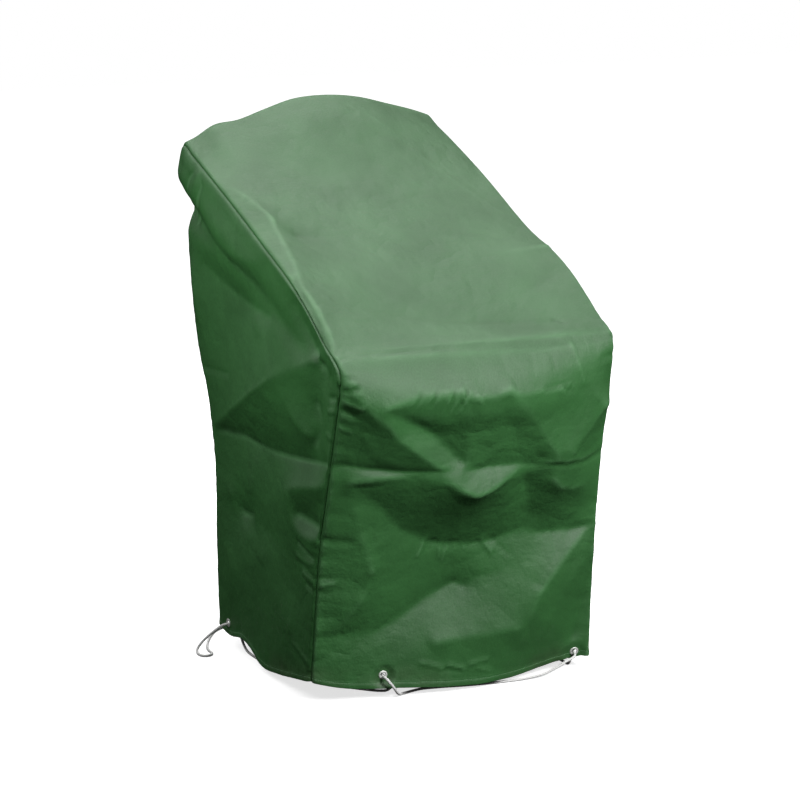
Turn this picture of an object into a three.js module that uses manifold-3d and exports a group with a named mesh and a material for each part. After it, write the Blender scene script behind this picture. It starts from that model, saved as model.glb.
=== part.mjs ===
// A fitted cover for stacked chairs, in millimetres, +Z up, its front towards -Y.
// Three cut pieces of cloth are sewn together: a centre strip that runs up the front, over the slope
// and the arched top and down the back, and a panel on each side. A cord runs through four eyelets
// in the hem. Heights in the tables are over the ground that the cord lies on. The finished group is
// lowered, so that the origin is under the middle of the top, where the cloth is carried from inside.
import * as THREE from "three";
import { mergeVertices } from "three/addons/utils/BufferGeometryUtils.js";
import Module from "manifold-3d";

const wasm = await Module();
wasm.setup();

// Driving sizes
const HALF_WIDTH = 330; // from the middle to a side seam
const CLOTH = 2; // thickness of the sheet
const SEAM_GAP = 0.34; // between two cut edges that are sewn together
const ROLL = 14; // width of the rounding beside a seam
const ROLL_DEPTH = 5.5; // how far the seam lies inside the flat cloth
const CELL = 38; // step of the cloth's grid
const HEM_CELL = 46; // height of the lowest row, which holds the eyelets
const CROWN = 2.6; // power by which the strip bows out between its seams
const HEM_FADE = 300; // the hem's rise and fall dies out this far up the cloth
const SEAM_FADE = 30; // a side panel's folds die out this near to its seams
const PANEL = { depth: 600, height: 900 }; // a side panel's rough size
const CARRIED_AT = new THREE.Vector3(0, 428, 1213); // becomes the origin

// Cuts across the strip, from the front hem over the top to the back hem: y and z of the cloth at
// the left seam, in the middle and at the right seam
const SECTIONS = [
  { name: "hem_front", left: [-258, 34], middle: [-300, 34], right: [-322, 34] },
  { name: "shin", left: [-276, 160], middle: [-322, 160], right: [-326, 160] },
  { name: "knee", left: [-302, 340], middle: [-352, 340], right: [-338, 340] },
  { name: "thigh", left: [-348, 500], middle: [-378, 490], right: [-352, 490] },
  { name: "apron", left: [-388, 640], middle: [-402, 610], right: [-378, 640] },
  { name: "turn", left: [-404, 700], middle: [-418, 668], right: [-390, 710] },
  { name: "under_nose", left: [-410, 738], middle: [-412, 715], right: [-394, 748] },
  { name: "nose", left: [-400, 764], middle: [-390, 762], right: [-384, 776] },
  { name: "over_nose", left: [-350, 794], middle: [-334, 796], right: [-340, 803] },
  { name: "lap", left: [-225, 876], middle: [-215, 858], right: [-210, 888] },
  { name: "arm", left: [-20, 966], middle: [-20, 950], right: [-30, 952] },
  { name: "shoulder", left: [190, 1050], middle: [190, 1050], right: [190, 1052] },
  { name: "neck", left: [350, 1110], middle: [372, 1130], right: [400, 1132] },
  { name: "crest", left: [403, 1128], middle: [428, 1140], right: [462, 1152] },
  { name: "nape", left: [420, 1105], middle: [450, 1112], right: [478, 1122] },
  { name: "back_high", left: [394, 1000], middle: [420, 1005], right: [430, 1010] },
  { name: "back_upper", left: [380, 880], middle: [398, 880], right: [400, 880] },
  { name: "back_mid", left: [345, 700], middle: [365, 700], right: [365, 700] },
  { name: "back_low", left: [282, 560], middle: [302, 560], right: [300, 560] },
  { name: "calf", left: [252, 430], middle: [275, 420], right: [270, 420] },
  { name: "ankle", left: [250, 220], middle: [265, 220], right: [262, 220] },
  { name: "hem_back", left: [242, 34], middle: [256, 34], right: [262, 34] },
];
const HEM_HEIGHT = 34; // as the first and last cut have it

// Height of the hem along each edge, and rise of the arch over the crest
const HEM_FRONT = { x: [-330, -270, -110, 75, 200, 330], z: [55, 38, 25, 14, 17, 34] };
const HEM_BACK = { x: [-330, -150, 100, 330], z: [46, 30, 24, 40] };
const HEM_LEFT = { y: [-258, -183, -100, 3, 50, 90, 170, 242], z: [55, 40, 24, 18, 38, 46, 35, 46] };
const HEM_RIGHT = { y: [-322, -170, 0, 140, 262], z: [34, 22, 20, 31, 40] };
const ARCH = {
  before: 190, // it dies out this far in front of the crest
  behind: 330, // and this far down the back
  x: [-330, -300, -255, -190, -120, -50, 30, 130, 200, 280, 330],
  rise: [0, 10, 33, 40, 58, 74, 76, 62, 42, 18, 0],
};

// Folds of the strip: along each line the cloth stands out by the third number. The first number
// is the place across, and the second the length up the cut from the front hem.
const STRIP_FOLDS = {
  hem: [[-330, 0, 0], [60, 0, 0], [130, 0, -14], [200, 0, -28], [250, 0, -26], [290, 0, -16], [330, 0, 0]],
  crease_high: [[-280, 762, 5], [-105, 748, 12], [120, 730, 16], [210, 726, 15], [305, 726, 4]],
  turn: [
    [-215, 640, 44], [-160, 662, 38], [-105, 655, 38], [-30, 650, 38], [55, 640, 40],
    [120, 622, 44], [175, 626, 38], [235, 640, 28],
  ],
  diagonal: [
    [-300, 742, 6], [-265, 680, 24], [-210, 620, 44], [-145, 560, 44], [-75, 495, 36], [-50, 480, 30],
  ],
  left_hollow: [[-300, 660, 0], [-250, 590, 2], [-190, 530, 8], [-130, 490, 14]],
  crease_low: [
    [-328, 530, -4], [-285, 520, -8], [-230, 505, 0], [-175, 493, 12], [-100, 482, 18], [-45, 478, 22],
    [0, 478, 6], [60, 481, -4], [115, 486, -2], [180, 479, -2], [260, 476, -2], [326, 486, 0],
  ],
  peak: [
    [-285, 476, 4], [-230, 482, 16], [-175, 485, 24], [-80, 473, 32], [-20, 437, 42], [20, 405, 44],
    [65, 420, 26], [112, 480, 2],
  ],
  upright: [[15, 635, 42], [0, 580, 34], [-12, 530, 26], [-20, 490, 20]],
  hollow_right: [[118, 600, 20], [150, 560, 0], [180, 522, -10], [245, 488, -6]],
  facet_right: [[240, 572, 4], [305, 566, 6], [276, 482, 6]],
  knob: [[262, 680, 16], [300, 625, 22], [326, 588, 8]],
  pocket: [
    [-280, 470, 2], [-205, 400, -6], [-170, 368, -10], [-110, 325, -20], [-60, 315, -24], [0, 308, -28],
    [50, 305, -30], [130, 312, -32], [150, 340, -26], [143, 385, -14],
  ],
  shelf: [[130, 312, -32], [200, 322, -30], [260, 312, -22], [300, 305, -14], [328, 292, 0]],
  lean_right: [[300, 300, -8], [265, 258, 4], [220, 195, 10], [170, 190, 10], [125, 205, 8]],
  crease_hem: [[-200, 100, -14], [-95, 160, -26], [-30, 200, -32], [35, 212, -20], [85, 211, -8]],
  fold_left: [[-320, 225, -2], [-275, 205, -10], [-230, 196, -4], [-262, 160, -14], [-295, 120, -6]],
  lap_band: [[-180, 925, -2], [-90, 880, -5], [20, 845, -6], [130, 828, -6], [220, 812, -4]],
  lap_hollow: [[310, 972, -2], [240, 940, -6], [170, 905, -6], [110, 880, -6]],
  slope_middle: [[-240, 1180, 0], [0, 1150, 0], [240, 1160, 0]],
  slope_edge: [
    [-320, 1425, 0], [-300, 1320, 8], [-288, 1230, 11], [-295, 1130, 11], [-303, 1060, 8], [-318, 965, 0],
  ],
  crest: [[-330, 1640, 0], [330, 1640, 0]],
  nape: [[-330, 1800, 0], [330, 1800, 0]],
  back_left: [[-140, 1900, 3], [-175, 2250, 10], [-160, 2690, 2]],
  back_middle: [[70, 1900, -2], [30, 2320, -11], [60, 2700, -3]],
  back_right: [[215, 1980, 2], [240, 2380, 9], [205, 2720, 2]],
  back_crease: [[-325, 2290, 0], [-230, 2300, -3], [-90, 2310, -7], [130, 2305, -9], [320, 2296, 0]],
  hem_back: [[-330, 2786, 0], [330, 2786, 0]],
};

// Folds of the side panels, with places given as y and z
const LEFT_FOLDS = {
  crease_high: [
    [250, 500, 0], [170, 540, 8], [100, 576, 14], [40, 608, 17], [-16, 642, 18], [-94, 680, 14],
    [-200, 722, 8], [-310, 764, 2],
  ],
  crease_low: [
    [250, 500, 0], [149, 515, -6], [56, 526, -10], [-35, 524, -11], [-117, 522, -12], [-249, 540, -12],
    [-350, 553, -6],
  ],
  upright: [[11, 818, 2], [-20, 775, 6], [-45, 736, 9], [-67, 679, 14]],
  dimple: [[96, 351, -12], [61, 359, -16], [27, 349, -10], [-84, 330, -2], [-117, 322, 2]],
  ray_back: [[154, 366, 2], [96, 351, -12]],
  ray_down: [[62, 345, -16], [63, 299, -5], [75, 240, 0]],
  ray_up: [[61, 367, -14], [59, 413, -3], [23, 469, 0]],
  light_ridge: [[-100, 440, 0], [-141, 416, 6], [-183, 392, 10], [-246, 376, 9], [-300, 380, 4]],
  pocket: [[-210, 450, -4], [-247, 432, -11], [-290, 425, -8]],
  patch: [[-150, 655, -2], [-199, 640, -6], [-270, 618, -9], [-350, 600, -4]],
  patch_low: [[-160, 600, 8], [-245, 572, 3]],
  corner: [
    [313, 1088, 2], [350, 1045, 10], [380, 1005, 14], [360, 985, 4], [331, 976, -8], [300, 1010, -2],
    [285, 1034, 6], [313, 1088, 2],
  ],
  hollow_high: [[264, 975, -6], [190, 965, -12], [123, 960, -10], [60, 935, -6]],
  hollow_middle: [[117, 850, -4], [20, 880, -12], [-65, 895, -12], [-150, 880, -6]],
  band: [[345, 858, 6], [325, 790, 10], [300, 714, 4]],
  low_back: [[190, 300, 0], [150, 200, 4], [160, 110, 0]],
  low_front: [[-150, 100, 0], [-160, 150, 5], [-200, 230, 0]],
};
const RIGHT_FOLDS = {
  crease_high: [[240, 520, 0], [90, 585, 9], [-60, 650, 12], [-200, 700, 7], [-300, 745, 2]],
  crease_low: [[240, 500, 0], [60, 515, -9], [-120, 520, -11], [-330, 540, -4]],
  upright: [[60, 800, 2], [10, 740, 6], [-30, 660, 10]],
  hollow: [[260, 960, -5], [120, 950, -10], [-60, 890, -9], [-180, 850, -3]],
  light_ridge: [[-60, 420, 2], [-170, 380, 9], [-270, 350, 4]],
  low_back: [[180, 330, 0], [140, 220, 7], [150, 110, 0]],
  low_front: [[-120, 110, 0], [-160, 190, 6], [-230, 260, 0]],
};

// Eyelets: the middle of each on the cloth's outer face, and the way that the face looks there
const EYELETS = [
  { name: "eyelet_front_left", cloth: "centre_strip", at: [-169, -283, 55], facing: [-0.12, -0.99, -0.05] },
  { name: "eyelet_front_right", cloth: "centre_strip", at: [294, -305, 44], facing: [-0.2, -0.95, -0.2] },
  { name: "eyelet_left", cloth: "left_panel", at: [-330, 177, 62], facing: [-1, 0, 0] },
  { name: "eyelet_right", cloth: "right_panel", at: [330, 177, 56], facing: [1, 0, 0] },
];
const EYELET = {
  bore: 5.5, barrel: 6.3, rim: 10, flange: 1.2, bevel: 1, clearance: 0.3,
  cell: 32, // width of the grid's cell that it sits in
  flatCloth: 34, // cloth is flat as far from the middle as this
  fadeCloth: 48, // and follows its folds again from here
  sides: 16,
};

// Routes of the cord's four stretches, from eyelet to eyelet. It lies in the lower side of each
// bore, falls to the ground with soft bends and lies there.
const CORD_RADIUS = 3;
const CORD_SIDES = 8;
const CORD_ROUTES = {
  cord_front: [
    [-168.9, -282.2, 52.8], [-169.5, -287.2, 52.5], [-168.2, -294.7, 50.9], [-165.1, -300.1, 46.7],
    [-160.3, -302.3, 39.6], [-149, -300.5, 25], [-139.5, -294.5, 13], [-129, -286, 6], [-115, -277, 3],
    [-72, -269, 3], [-27, -277, 3], [30, -293, 3], [105, -308, 3], [165, -315, 3.5], [210, -321, 10],
    [243, -324.5, 22], [262, -324.5, 30.5], [275.6, -323.4, 34.4], [283.3, -321.5, 36.6],
    [289.7, -316.2, 39], [293.2, -309, 41], [294.2, -304.2, 42],
  ],
  cord_left: [
    [-168.9, -281.9, 52.8], [-168.3, -277, 53], [-166, -268.4, 52.2], [-161.3, -262.5, 48.5],
    [-156, -260.6, 43.6], [-147.3, -262.3, 34.5], [-138, -260.5, 25.5], [-136, -256.5, 14.5],
    [-142.5, -249.5, 5.8], [-154.5, -239, 3], [-184, -212, 3], [-236, -149, 3], [-278, -62, 3], [-300, 40, 3],
    [-304.5, 114, 3], [-305, 131, 5.5], [-306, 144, 13.5], [-307, 154.5, 25.5], [-308, 162, 37],
    [-308.8, 168.7, 47.3], [-310.8, 172.8, 53.5], [-316.3, 175.9, 58.1], [-323.8, 177, 59.8],
    [-328.8, 177, 59.8],
  ],
  cord_right: [
    [294.2, -303.9, 42], [295.2, -299.1, 43], [296.6, -292.1, 41.7], [297.5, -286.6, 37.1],
    [298, -283.2, 28.4], [298.2, -281.6, 18.8], [298.7, -278.6, 10.2], [298.9, -273.4, 5.2],
    [299, -265, 3.2], [299.1, -254, 3], [299.6, -225, 3], [301, -150, 3], [303, -10, 3],
    [304.5, 114, 3], [305, 131, 4.8], [306, 144.5, 11.5], [307, 155, 21.5], [308, 162.5, 32],
    [308.8, 168.7, 41.3], [310.8, 172.8, 47.5], [316.3, 175.9, 52.1], [323.8, 177, 53.8],
    [328.8, 177, 53.8],
  ],
  cord_back: [
    [329.1, 177, 53.8], [334.5, 177, 53.8], [342, 178.2, 52.2], [347.5, 181.5, 47.8], [349.5, 186, 41.8],
    [349.8, 197, 27], [349.3, 209, 13.5], [346.5, 224, 5], [340, 243, 3], [312, 282, 3], [250, 306, 3],
    [140, 307, 3], [0, 302, 3], [-130, 308, 3], [-230, 319, 3], [-282, 319, 3], [-309, 303, 3],
    [-332, 276, 3], [-356, 238, 3], [-374, 199, 3], [-379, 176, 3], [-379, 161, 3], [-383.4, 150.4, 3],
    [-394, 146, 3], [-404.6, 150.4, 3], [-409, 161, 3], [-408.5, 174, 3.4], [-403.5, 186, 8.5],
    [-392, 191, 19], [-377, 188, 33.5], [-361, 183, 47], [-347, 178.6, 56.6], [-336.5, 177.1, 59.6],
    [-329.1, 177, 59.8],
  ],
};

const MATERIALS = {
  cloth: new THREE.MeshStandardMaterial({ color: 0x4c7a50, roughness: 0.75, metalness: 0 }),
  eyelet: new THREE.MeshStandardMaterial({ color: 0xc9cfc8, roughness: 0.35, metalness: 0.9 }),
  cord: new THREE.MeshStandardMaterial({ color: 0xeeeeea, roughness: 0.85, metalness: 0 }),
};

// Smooth curve through the values at the knots
function curve(knots, values, at) {
  const last = knots.length - 1;
  const place = THREE.MathUtils.clamp(at, knots[0], knots[last]);
  let i = 0;
  while (i < last - 1 && place >= knots[i + 1]) i++;
  const step = (k) => knots[k + 1] - knots[k];
  const rise = (k) => (values[k + 1] - values[k]) / step(k);
  const slope = (k) => {
    if (k === 0) return rise(0);
    if (k === last) return rise(last - 1);
    const share = step(k) / (step(k) + step(k - 1));
    return rise(k - 1) * share + rise(k) * (1 - share);
  };
  const t = (place - knots[i]) / step(i);
  return (
    values[i] * (2 * t ** 3 - 3 * t ** 2 + 1) +
    values[i + 1] * (3 * t ** 2 - 2 * t ** 3) +
    slope(i) * step(i) * (t ** 3 - 2 * t ** 2 + t) +
    slope(i + 1) * step(i) * (t ** 3 - t ** 2)
  );
}

// Length up the cut at each section, measured on the average of its three places
const CUT = [0];
const average = (row, k) => (row.left[k] + row.middle[k] + row.right[k]) / 3;
for (let i = 1; i < SECTIONS.length; i++) {
  const dy = average(SECTIONS[i], 0) - average(SECTIONS[i - 1], 0);
  const dz = average(SECTIONS[i], 1) - average(SECTIONS[i - 1], 1);
  CUT.push(CUT[i - 1] + Math.hypot(dy, dz));
}
const cutAt = (name) => CUT[SECTIONS.findIndex((row) => row.name === name)];
const NOSE = cutAt("nose");
const CREST = cutAt("crest");
const CUT_END = cutAt("hem_back");

// Heights of cloth that is drawn tight between its fold lines, on a square grid
const RELIEF = { step: 10, rounds: 600, pull: 1.9 };
class Relief {
  constructor(lines, low, high) {
    const { step } = RELIEF;
    Object.assign(this, { low, step });
    this.count = [0, 1].map((k) => Math.round((high[k] - low[k]) / step) + 1);
    this.height = new Float64Array(this.count[0] * this.count[1]);
    this.pinned = new Uint8Array(this.height.length);
    for (const line of Object.values(lines)) this.pin(line);
    this.relax();
    this.soften();
  }

  index(i, j) {
    return i * this.count[1] + j;
  }

  pin(line) {
    for (let k = 1; k < line.length; k++) {
      const [a, b] = [line[k - 1], line[k]];
      const parts = Math.ceil((2 * Math.hypot(b[0] - a[0], b[1] - a[1])) / this.step) || 1;
      for (let n = 0; n <= parts; n++) {
        const [p, q, out] = a.map((v, axis) => v + ((b[axis] - v) * n) / parts);
        const i = Math.round((p - this.low[0]) / this.step);
        const j = Math.round((q - this.low[1]) / this.step);
        if (i < 0 || j < 0 || i >= this.count[0] || j >= this.count[1]) continue;
        this.height[this.index(i, j)] = out;
        this.pinned[this.index(i, j)] = 1;
      }
    }
  }

  // Mean of the four neighbours, mirrored at the edges
  around(i, j) {
    const [ni, nj] = this.count;
    const h = this.height;
    return (
      (h[this.index(Math.abs(i - 1), j)] +
        h[this.index(i + 1 < ni ? i + 1 : i - 1, j)] +
        h[this.index(i, Math.abs(j - 1))] +
        h[this.index(i, j + 1 < nj ? j + 1 : j - 1)]) /
      4
    );
  }

  relax() {
    for (let round = 0; round < RELIEF.rounds; round++) {
      for (let i = 0; i < this.count[0]; i++) {
        for (let j = 0; j < this.count[1]; j++) {
          const k = this.index(i, j);
          if (!this.pinned[k]) this.height[k] += RELIEF.pull * (this.around(i, j) - this.height[k]);
        }
      }
    }
  }

  soften() {
    const soft = this.height.map((own, k) => {
      const j = k % this.count[1];
      return (own + this.around((k - j) / this.count[1], j)) / 2;
    });
    this.height = soft;
  }

  at(p, q) {
    const place = [p, q].map((v, k) =>
      THREE.MathUtils.clamp((v - this.low[k]) / this.step, 0, this.count[k] - 1.001),
    );
    const [i, j] = place.map(Math.floor);
    const [a, b] = [place[0] - i, place[1] - j];
    const h = (di, dj) => this.height[this.index(i + di, j + dj)];
    return (h(0, 0) * (1 - a) + h(1, 0) * a) * (1 - b) + (h(0, 1) * (1 - a) + h(1, 1) * a) * b;
  }
}

const seamLine = (side) => SECTIONS.map((row) => [...row[side], 0]);
const stripEdge = (x) => [[x, 0, 0], [x, CUT_END, 0]];
const stripRelief = new Relief(
  { ...STRIP_FOLDS, left_seam: stripEdge(-HALF_WIDTH), right_seam: stripEdge(HALF_WIDTH) },
  [-HALF_WIDTH, 0],
  [HALF_WIDTH, CUT_END],
);
const PANEL_REACH = { low: [-430, 0], high: [490, 1180] };
const panelRelief = {
  left: new Relief({ ...LEFT_FOLDS, seam: seamLine("left") }, PANEL_REACH.low, PANEL_REACH.high),
  right: new Relief({ ...RIGHT_FOLDS, seam: seamLine("right") }, PANEL_REACH.low, PANEL_REACH.high),
};

// Depth and height of the strip before its folds, at x across and v up the cut
function stripBase(x, v) {
  const across = (x + HALF_WIDTH) / (2 * HALF_WIDTH);
  const middle = 1 - Math.abs(x / HALF_WIDTH) ** CROWN;
  const [y, z] = [0, 1].map((k) => {
    const [left, centre, right] = ["left", "middle", "right"].map((side) =>
      curve(CUT, SECTIONS.map((row) => row[side][k]), v),
    );
    return left * (1 - across) + right * across + (centre - (left + right) / 2) * middle;
  });
  const fade = (distance) => Math.max(0, 1 - distance / HEM_FADE) ** 2;
  const front = (curve(HEM_FRONT.x, HEM_FRONT.z, x) - HEM_HEIGHT) * fade(v);
  const back = (curve(HEM_BACK.x, HEM_BACK.z, x) - HEM_HEIGHT) * fade(CUT_END - v);
  const spread = v < CREST ? ARCH.before : ARCH.behind;
  const arch = curve(ARCH.x, ARCH.rise, x) * Math.exp(-(((v - CREST) / spread) ** 2));
  return [y, z + front + back + arch];
}

// Way that the strip looks, in the plane of the cut
function stripFacing(x, v, reach = 2) {
  const [y0, z0] = stripBase(x, Math.max(v - reach, 0));
  const [y1, z1] = stripBase(x, Math.min(v + reach, CUT_END));
  return new THREE.Vector3(0, z0 - z1, y1 - y0).normalize();
}

function stripPoint(x, v) {
  const [y, z] = stripBase(x, v);
  const near = Math.max(0, 1 - (HALF_WIDTH - Math.abs(x)) / ROLL);
  const roll = ROLL_DEPTH * near * near;
  const out = stripRelief.at(x, v) - roll;
  return new THREE.Vector3(x - Math.sign(x) * roll, y, z).addScaledVector(stripFacing(x, v), out);
}

// Even steps between the places that a line of the grid has to pass
function stations(fixed, step) {
  const list = [fixed[0]];
  for (let k = 1; k < fixed.length; k++) {
    const span = fixed[k] - fixed[k - 1];
    const parts = Math.max(1, Math.round(span / step));
    for (let n = 1; n <= parts; n++) list.push(fixed[k - 1] + (span * n) / parts);
  }
  return list;
}

const eyeletFrames = EYELETS.map(({ name, cloth, at, facing }) => ({
  name,
  cloth,
  at: new THREE.Vector3(...at),
  facing: new THREE.Vector3(...facing).normalize(),
}));

// Share by which the cloth at a point is drawn flat under its nearest eyelet
function flatness(point, eyelet) {
  const far = point.distanceTo(eyelet.at);
  return 1 - THREE.MathUtils.smoothstep(far, EYELET.flatCloth, EYELET.fadeCloth);
}

function flatten(point, cloth) {
  for (const eyelet of eyeletFrames.filter((e) => e.cloth === cloth)) {
    const off = point.clone().sub(eyelet.at).dot(eyelet.facing);
    point.addScaledVector(eyelet.facing, -off * flatness(point, eyelet));
  }
  return point;
}

// Vertex normals of a grid of points, from its neighbours; turned inside out where flip is -1
function gridNormals(grid, cloth, flip) {
  const near = (list, k, d) => list[THREE.MathUtils.clamp(k + d, 0, list.length - 1)];
  return grid.map((column, i) =>
    column.map((point, j) => {
      const across = near(grid, i, 1)[j].clone().sub(near(grid, i, -1)[j]);
      const along = near(column, j, 1).clone().sub(near(column, j, -1));
      const normal = across.cross(along).multiplyScalar(flip).normalize();
      for (const eyelet of eyeletFrames.filter((e) => e.cloth === cloth)) {
        normal.lerp(eyelet.facing, flatness(point, eyelet)).normalize();
      }
      return normal;
    }),
  );
}

// Frame of a seam at each of its points: the way the folded edge looks, and the way to the strip
function seamFrames(points, vs, side) {
  const outward = new THREE.Vector3(side, 0, 0);
  return points.map((point, k) => {
    const before = points[Math.max(k - 1, 0)];
    const after = points[Math.min(k + 1, points.length - 1)];
    const facing = stripFacing(side * HALF_WIDTH, vs[k]).add(outward).normalize();
    const toStrip = after.clone().sub(before).cross(facing).normalize();
    if (toStrip.x * side > 0) toStrip.negate();
    return { point, facing, toStrip };
  });
}

// Outer and inner point of a cut edge that lies on a seam
function cutEdge({ point, facing, toStrip }, way) {
  const outer = point.clone().addScaledVector(toStrip, (way * SEAM_GAP) / 2);
  return { outer, inner: outer.clone().addScaledVector(facing, -CLOTH) };
}

// A closed sheet from its grid of outer and inner points
function sheet(cells, flip) {
  const ni = cells.length;
  const nj = cells[0].length;
  const positions = [];
  for (const face of ["outer", "inner"]) {
    for (const column of cells) for (const cell of column) positions.push(...cell[face].toArray());
  }
  const outer = (i, j) => i * nj + j;
  const inner = (i, j) => ni * nj + i * nj + j;
  const triangles = [];
  const add = (a, b, c) => triangles.push(...(flip ? [a, c, b] : [a, b, c]));
  const length = (a, b) => a.outer.distanceTo(b.outer);
  for (let i = 0; i < ni - 1; i++) {
    for (let j = 0; j < nj - 1; j++) {
      const corners = [[i, j], [i + 1, j], [i + 1, j + 1], [i, j + 1]];
      const [p, q, r, s] = corners.map(([a, b]) => cells[a][b]);
      const turned = length(q, s) < length(p, r) ? [1, 2, 3, 0] : [0, 1, 2, 3];
      const [a, b, c, d] = turned.map((k) => corners[k]);
      add(outer(...a), outer(...b), outer(...c));
      add(outer(...a), outer(...c), outer(...d));
      add(inner(...a), inner(...c), inner(...b));
      add(inner(...a), inner(...d), inner(...c));
    }
  }
  const rim = [];
  for (let i = 0; i < ni - 1; i++) rim.push([i, 0]);
  for (let j = 0; j < nj - 1; j++) rim.push([ni - 1, j]);
  for (let i = ni - 1; i > 0; i--) rim.push([i, nj - 1]);
  for (let j = nj - 1; j > 0; j--) rim.push([0, j]);
  rim.forEach((a, k) => {
    const b = rim[(k + 1) % rim.length];
    add(outer(...b), outer(...a), inner(...a));
    add(outer(...b), inner(...a), inner(...b));
  });
  const geometry = new THREE.BufferGeometry();
  geometry.setAttribute("position", new THREE.Float32BufferAttribute(positions, 3));
  return geometry.setIndex(triangles);
}

// Solids for cutting
function solidOf(geometry) {
  const bare = geometry.clone();
  bare.deleteAttribute("normal");
  bare.deleteAttribute("uv");
  const merged = mergeVertices(bare, 1e-4);
  return new wasm.Manifold(
    new wasm.Mesh({
      numProp: 3,
      vertProperties: new Float32Array(merged.attributes.position.array),
      triVerts: new Uint32Array(merged.index.array),
    }),
  );
}

function geometryOf(solid) {
  const { vertProperties, triVerts } = solid.getMesh();
  const geometry = new THREE.BufferGeometry();
  geometry.setAttribute("position", new THREE.Float32BufferAttribute(vertProperties, 3));
  geometry.setIndex([...triVerts]);
  geometry.computeVertexNormals();
  return geometry;
}

// The grid's lines: across the strip, up the front, over the slope and down the back
const FLAT_WIDTH = HALF_WIDTH - ROLL - 1;
const aroundEyelet = (middle) => [middle - EYELET.cell / 2, middle + EYELET.cell / 2];
const stripEyelets = EYELETS.filter((eyelet) => eyelet.cloth === "centre_strip").map(({ at }) => at[0]);
const acrossLines = stations(
  [-HALF_WIDTH, -FLAT_WIDTH, ...stripEyelets.flatMap(aroundEyelet), FLAT_WIDTH, HALF_WIDTH],
  CELL,
);
const frontLines = stations([0, HEM_CELL, NOSE], CELL);
const slopeLines = stations([NOSE, CREST], CELL);
const backSpan = CUT_END - HEM_CELL - CREST;
const backLines = frontLines.map((_, k) =>
  k === 0 ? CUT_END : CREST + backSpan * (1 - (k - 1) / (frontLines.length - 2)),
);
const stripLines = [...frontLines, ...slopeLines.slice(1), ...backLines.toReversed().slice(1)];

const stripGrid = acrossLines.map((x) => stripLines.map((v) => flatten(stripPoint(x, v), "centre_strip")));
const seams = {
  left: seamFrames(stripGrid[0], stripLines, -1),
  right: seamFrames(stripGrid.at(-1), stripLines, 1),
};

function sheetCells(grid, normals) {
  return grid.map((column, i) =>
    column.map((outer, j) => ({ outer, inner: outer.clone().addScaledVector(normals[i][j], -CLOTH) })),
  );
}

function centreStrip() {
  const cells = sheetCells(stripGrid, gridNormals(stripGrid, "centre_strip", 1));
  cells[0] = seams.left.map((frame) => cutEdge(frame, 1));
  cells[cells.length - 1] = seams.right.map((frame) => cutEdge(frame, 1));
  return sheet(cells, false);
}

// A side panel: a patch between its three seams and its hem
function sidePanel(name, sideName, side, hem) {
  const rows = frontLines.length;
  const columns = slopeLines.length;
  const frames = seams[sideName];
  const front = frames.slice(0, rows);
  const slope = frames.slice(rows - 1, rows - 1 + columns);
  const back = frames.slice(rows + columns - 2).toReversed();
  const [start, end] = [front[0].point, back[0].point];
  const cell = aroundEyelet(EYELETS.find((eyelet) => eyelet.cloth === name).at[1]);
  const column = Math.round(((columns - 1) * (cell[0] - start.y)) / (end.y - start.y));
  const hemY = slope.map((_, i) =>
    curve([0, column, column + 1, columns - 1], [start.y, ...cell, end.y], i),
  );
  const hemLine = hemY.map((y, i) => {
    const t = i / (columns - 1);
    const ends = [start, end].map((p) => p.z - curve(hem.y, hem.z, p.y));
    return new THREE.Vector3(
      THREE.MathUtils.lerp(start.x, end.x, t),
      y,
      curve(hem.y, hem.z, y) + THREE.MathUtils.lerp(ends[0], ends[1], t),
    );
  });
  const grid = slope.map((top, i) =>
    front.map((_, j) => {
      const s = i / (columns - 1);
      const t = (frontLines[j] / NOSE + (CUT_END - backLines[j]) / (CUT_END - CREST)) / 2;
      const corners = [
        [(1 - s) * (1 - t), front[0]], [s * (1 - t), back[0]], [(1 - s) * t, slope[0]], [s * t, slope.at(-1)],
      ];
      const point = new THREE.Vector3()
        .addScaledVector(hemLine[i], 1 - t)
        .addScaledVector(top.point, t)
        .addScaledVector(front[j].point, 1 - s)
        .addScaledVector(back[j].point, s);
      corners.forEach(([share, corner]) => point.addScaledVector(corner.point, -share));
      const inside = Math.min(s * PANEL.depth, (1 - s) * PANEL.depth, (1 - t) * PANEL.height);
      const keep = THREE.MathUtils.smoothstep(inside, 0, SEAM_FADE);
      const roll = ROLL_DEPTH * (1 - Math.max(0, 1 - inside / ROLL) ** 2);
      point.x += side * (roll + keep * panelRelief[sideName].at(point.y, point.z));
      return inside > 0 ? flatten(point, name) : point;
    }),
  );
  const cells = sheetCells(grid, gridNormals(grid, name, side));
  const edge = (frame) => cutEdge(frame, -1);
  front.forEach((frame, j) => (cells[0][j] = edge(frame)));
  back.forEach((frame, j) => (cells[columns - 1][j] = edge(frame)));
  slope.forEach((frame, i) => (cells[i][rows - 1] = edge(frame)));
  return sheet(cells, side < 0);
}

const UP = new THREE.Vector3(0, 1, 0);
function placed(geometry, eyelet) {
  const turn = new THREE.Quaternion().setFromUnitVectors(UP, eyelet.facing);
  return geometry.applyQuaternion(turn).translate(...eyelet.at.toArray());
}

// Cloth with a round hole for each of its eyelets
function pierced(geometry, cloth) {
  const radius = EYELET.barrel + EYELET.clearance;
  const holes = eyeletFrames
    .filter((eyelet) => eyelet.cloth === cloth)
    .map((eyelet) => placed(new THREE.CylinderGeometry(radius, radius, 6 * CLOTH, EYELET.sides), eyelet));
  return geometryOf(holes.reduce((solid, hole) => solid.subtract(solidOf(hole)), solidOf(geometry)));
}

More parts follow.
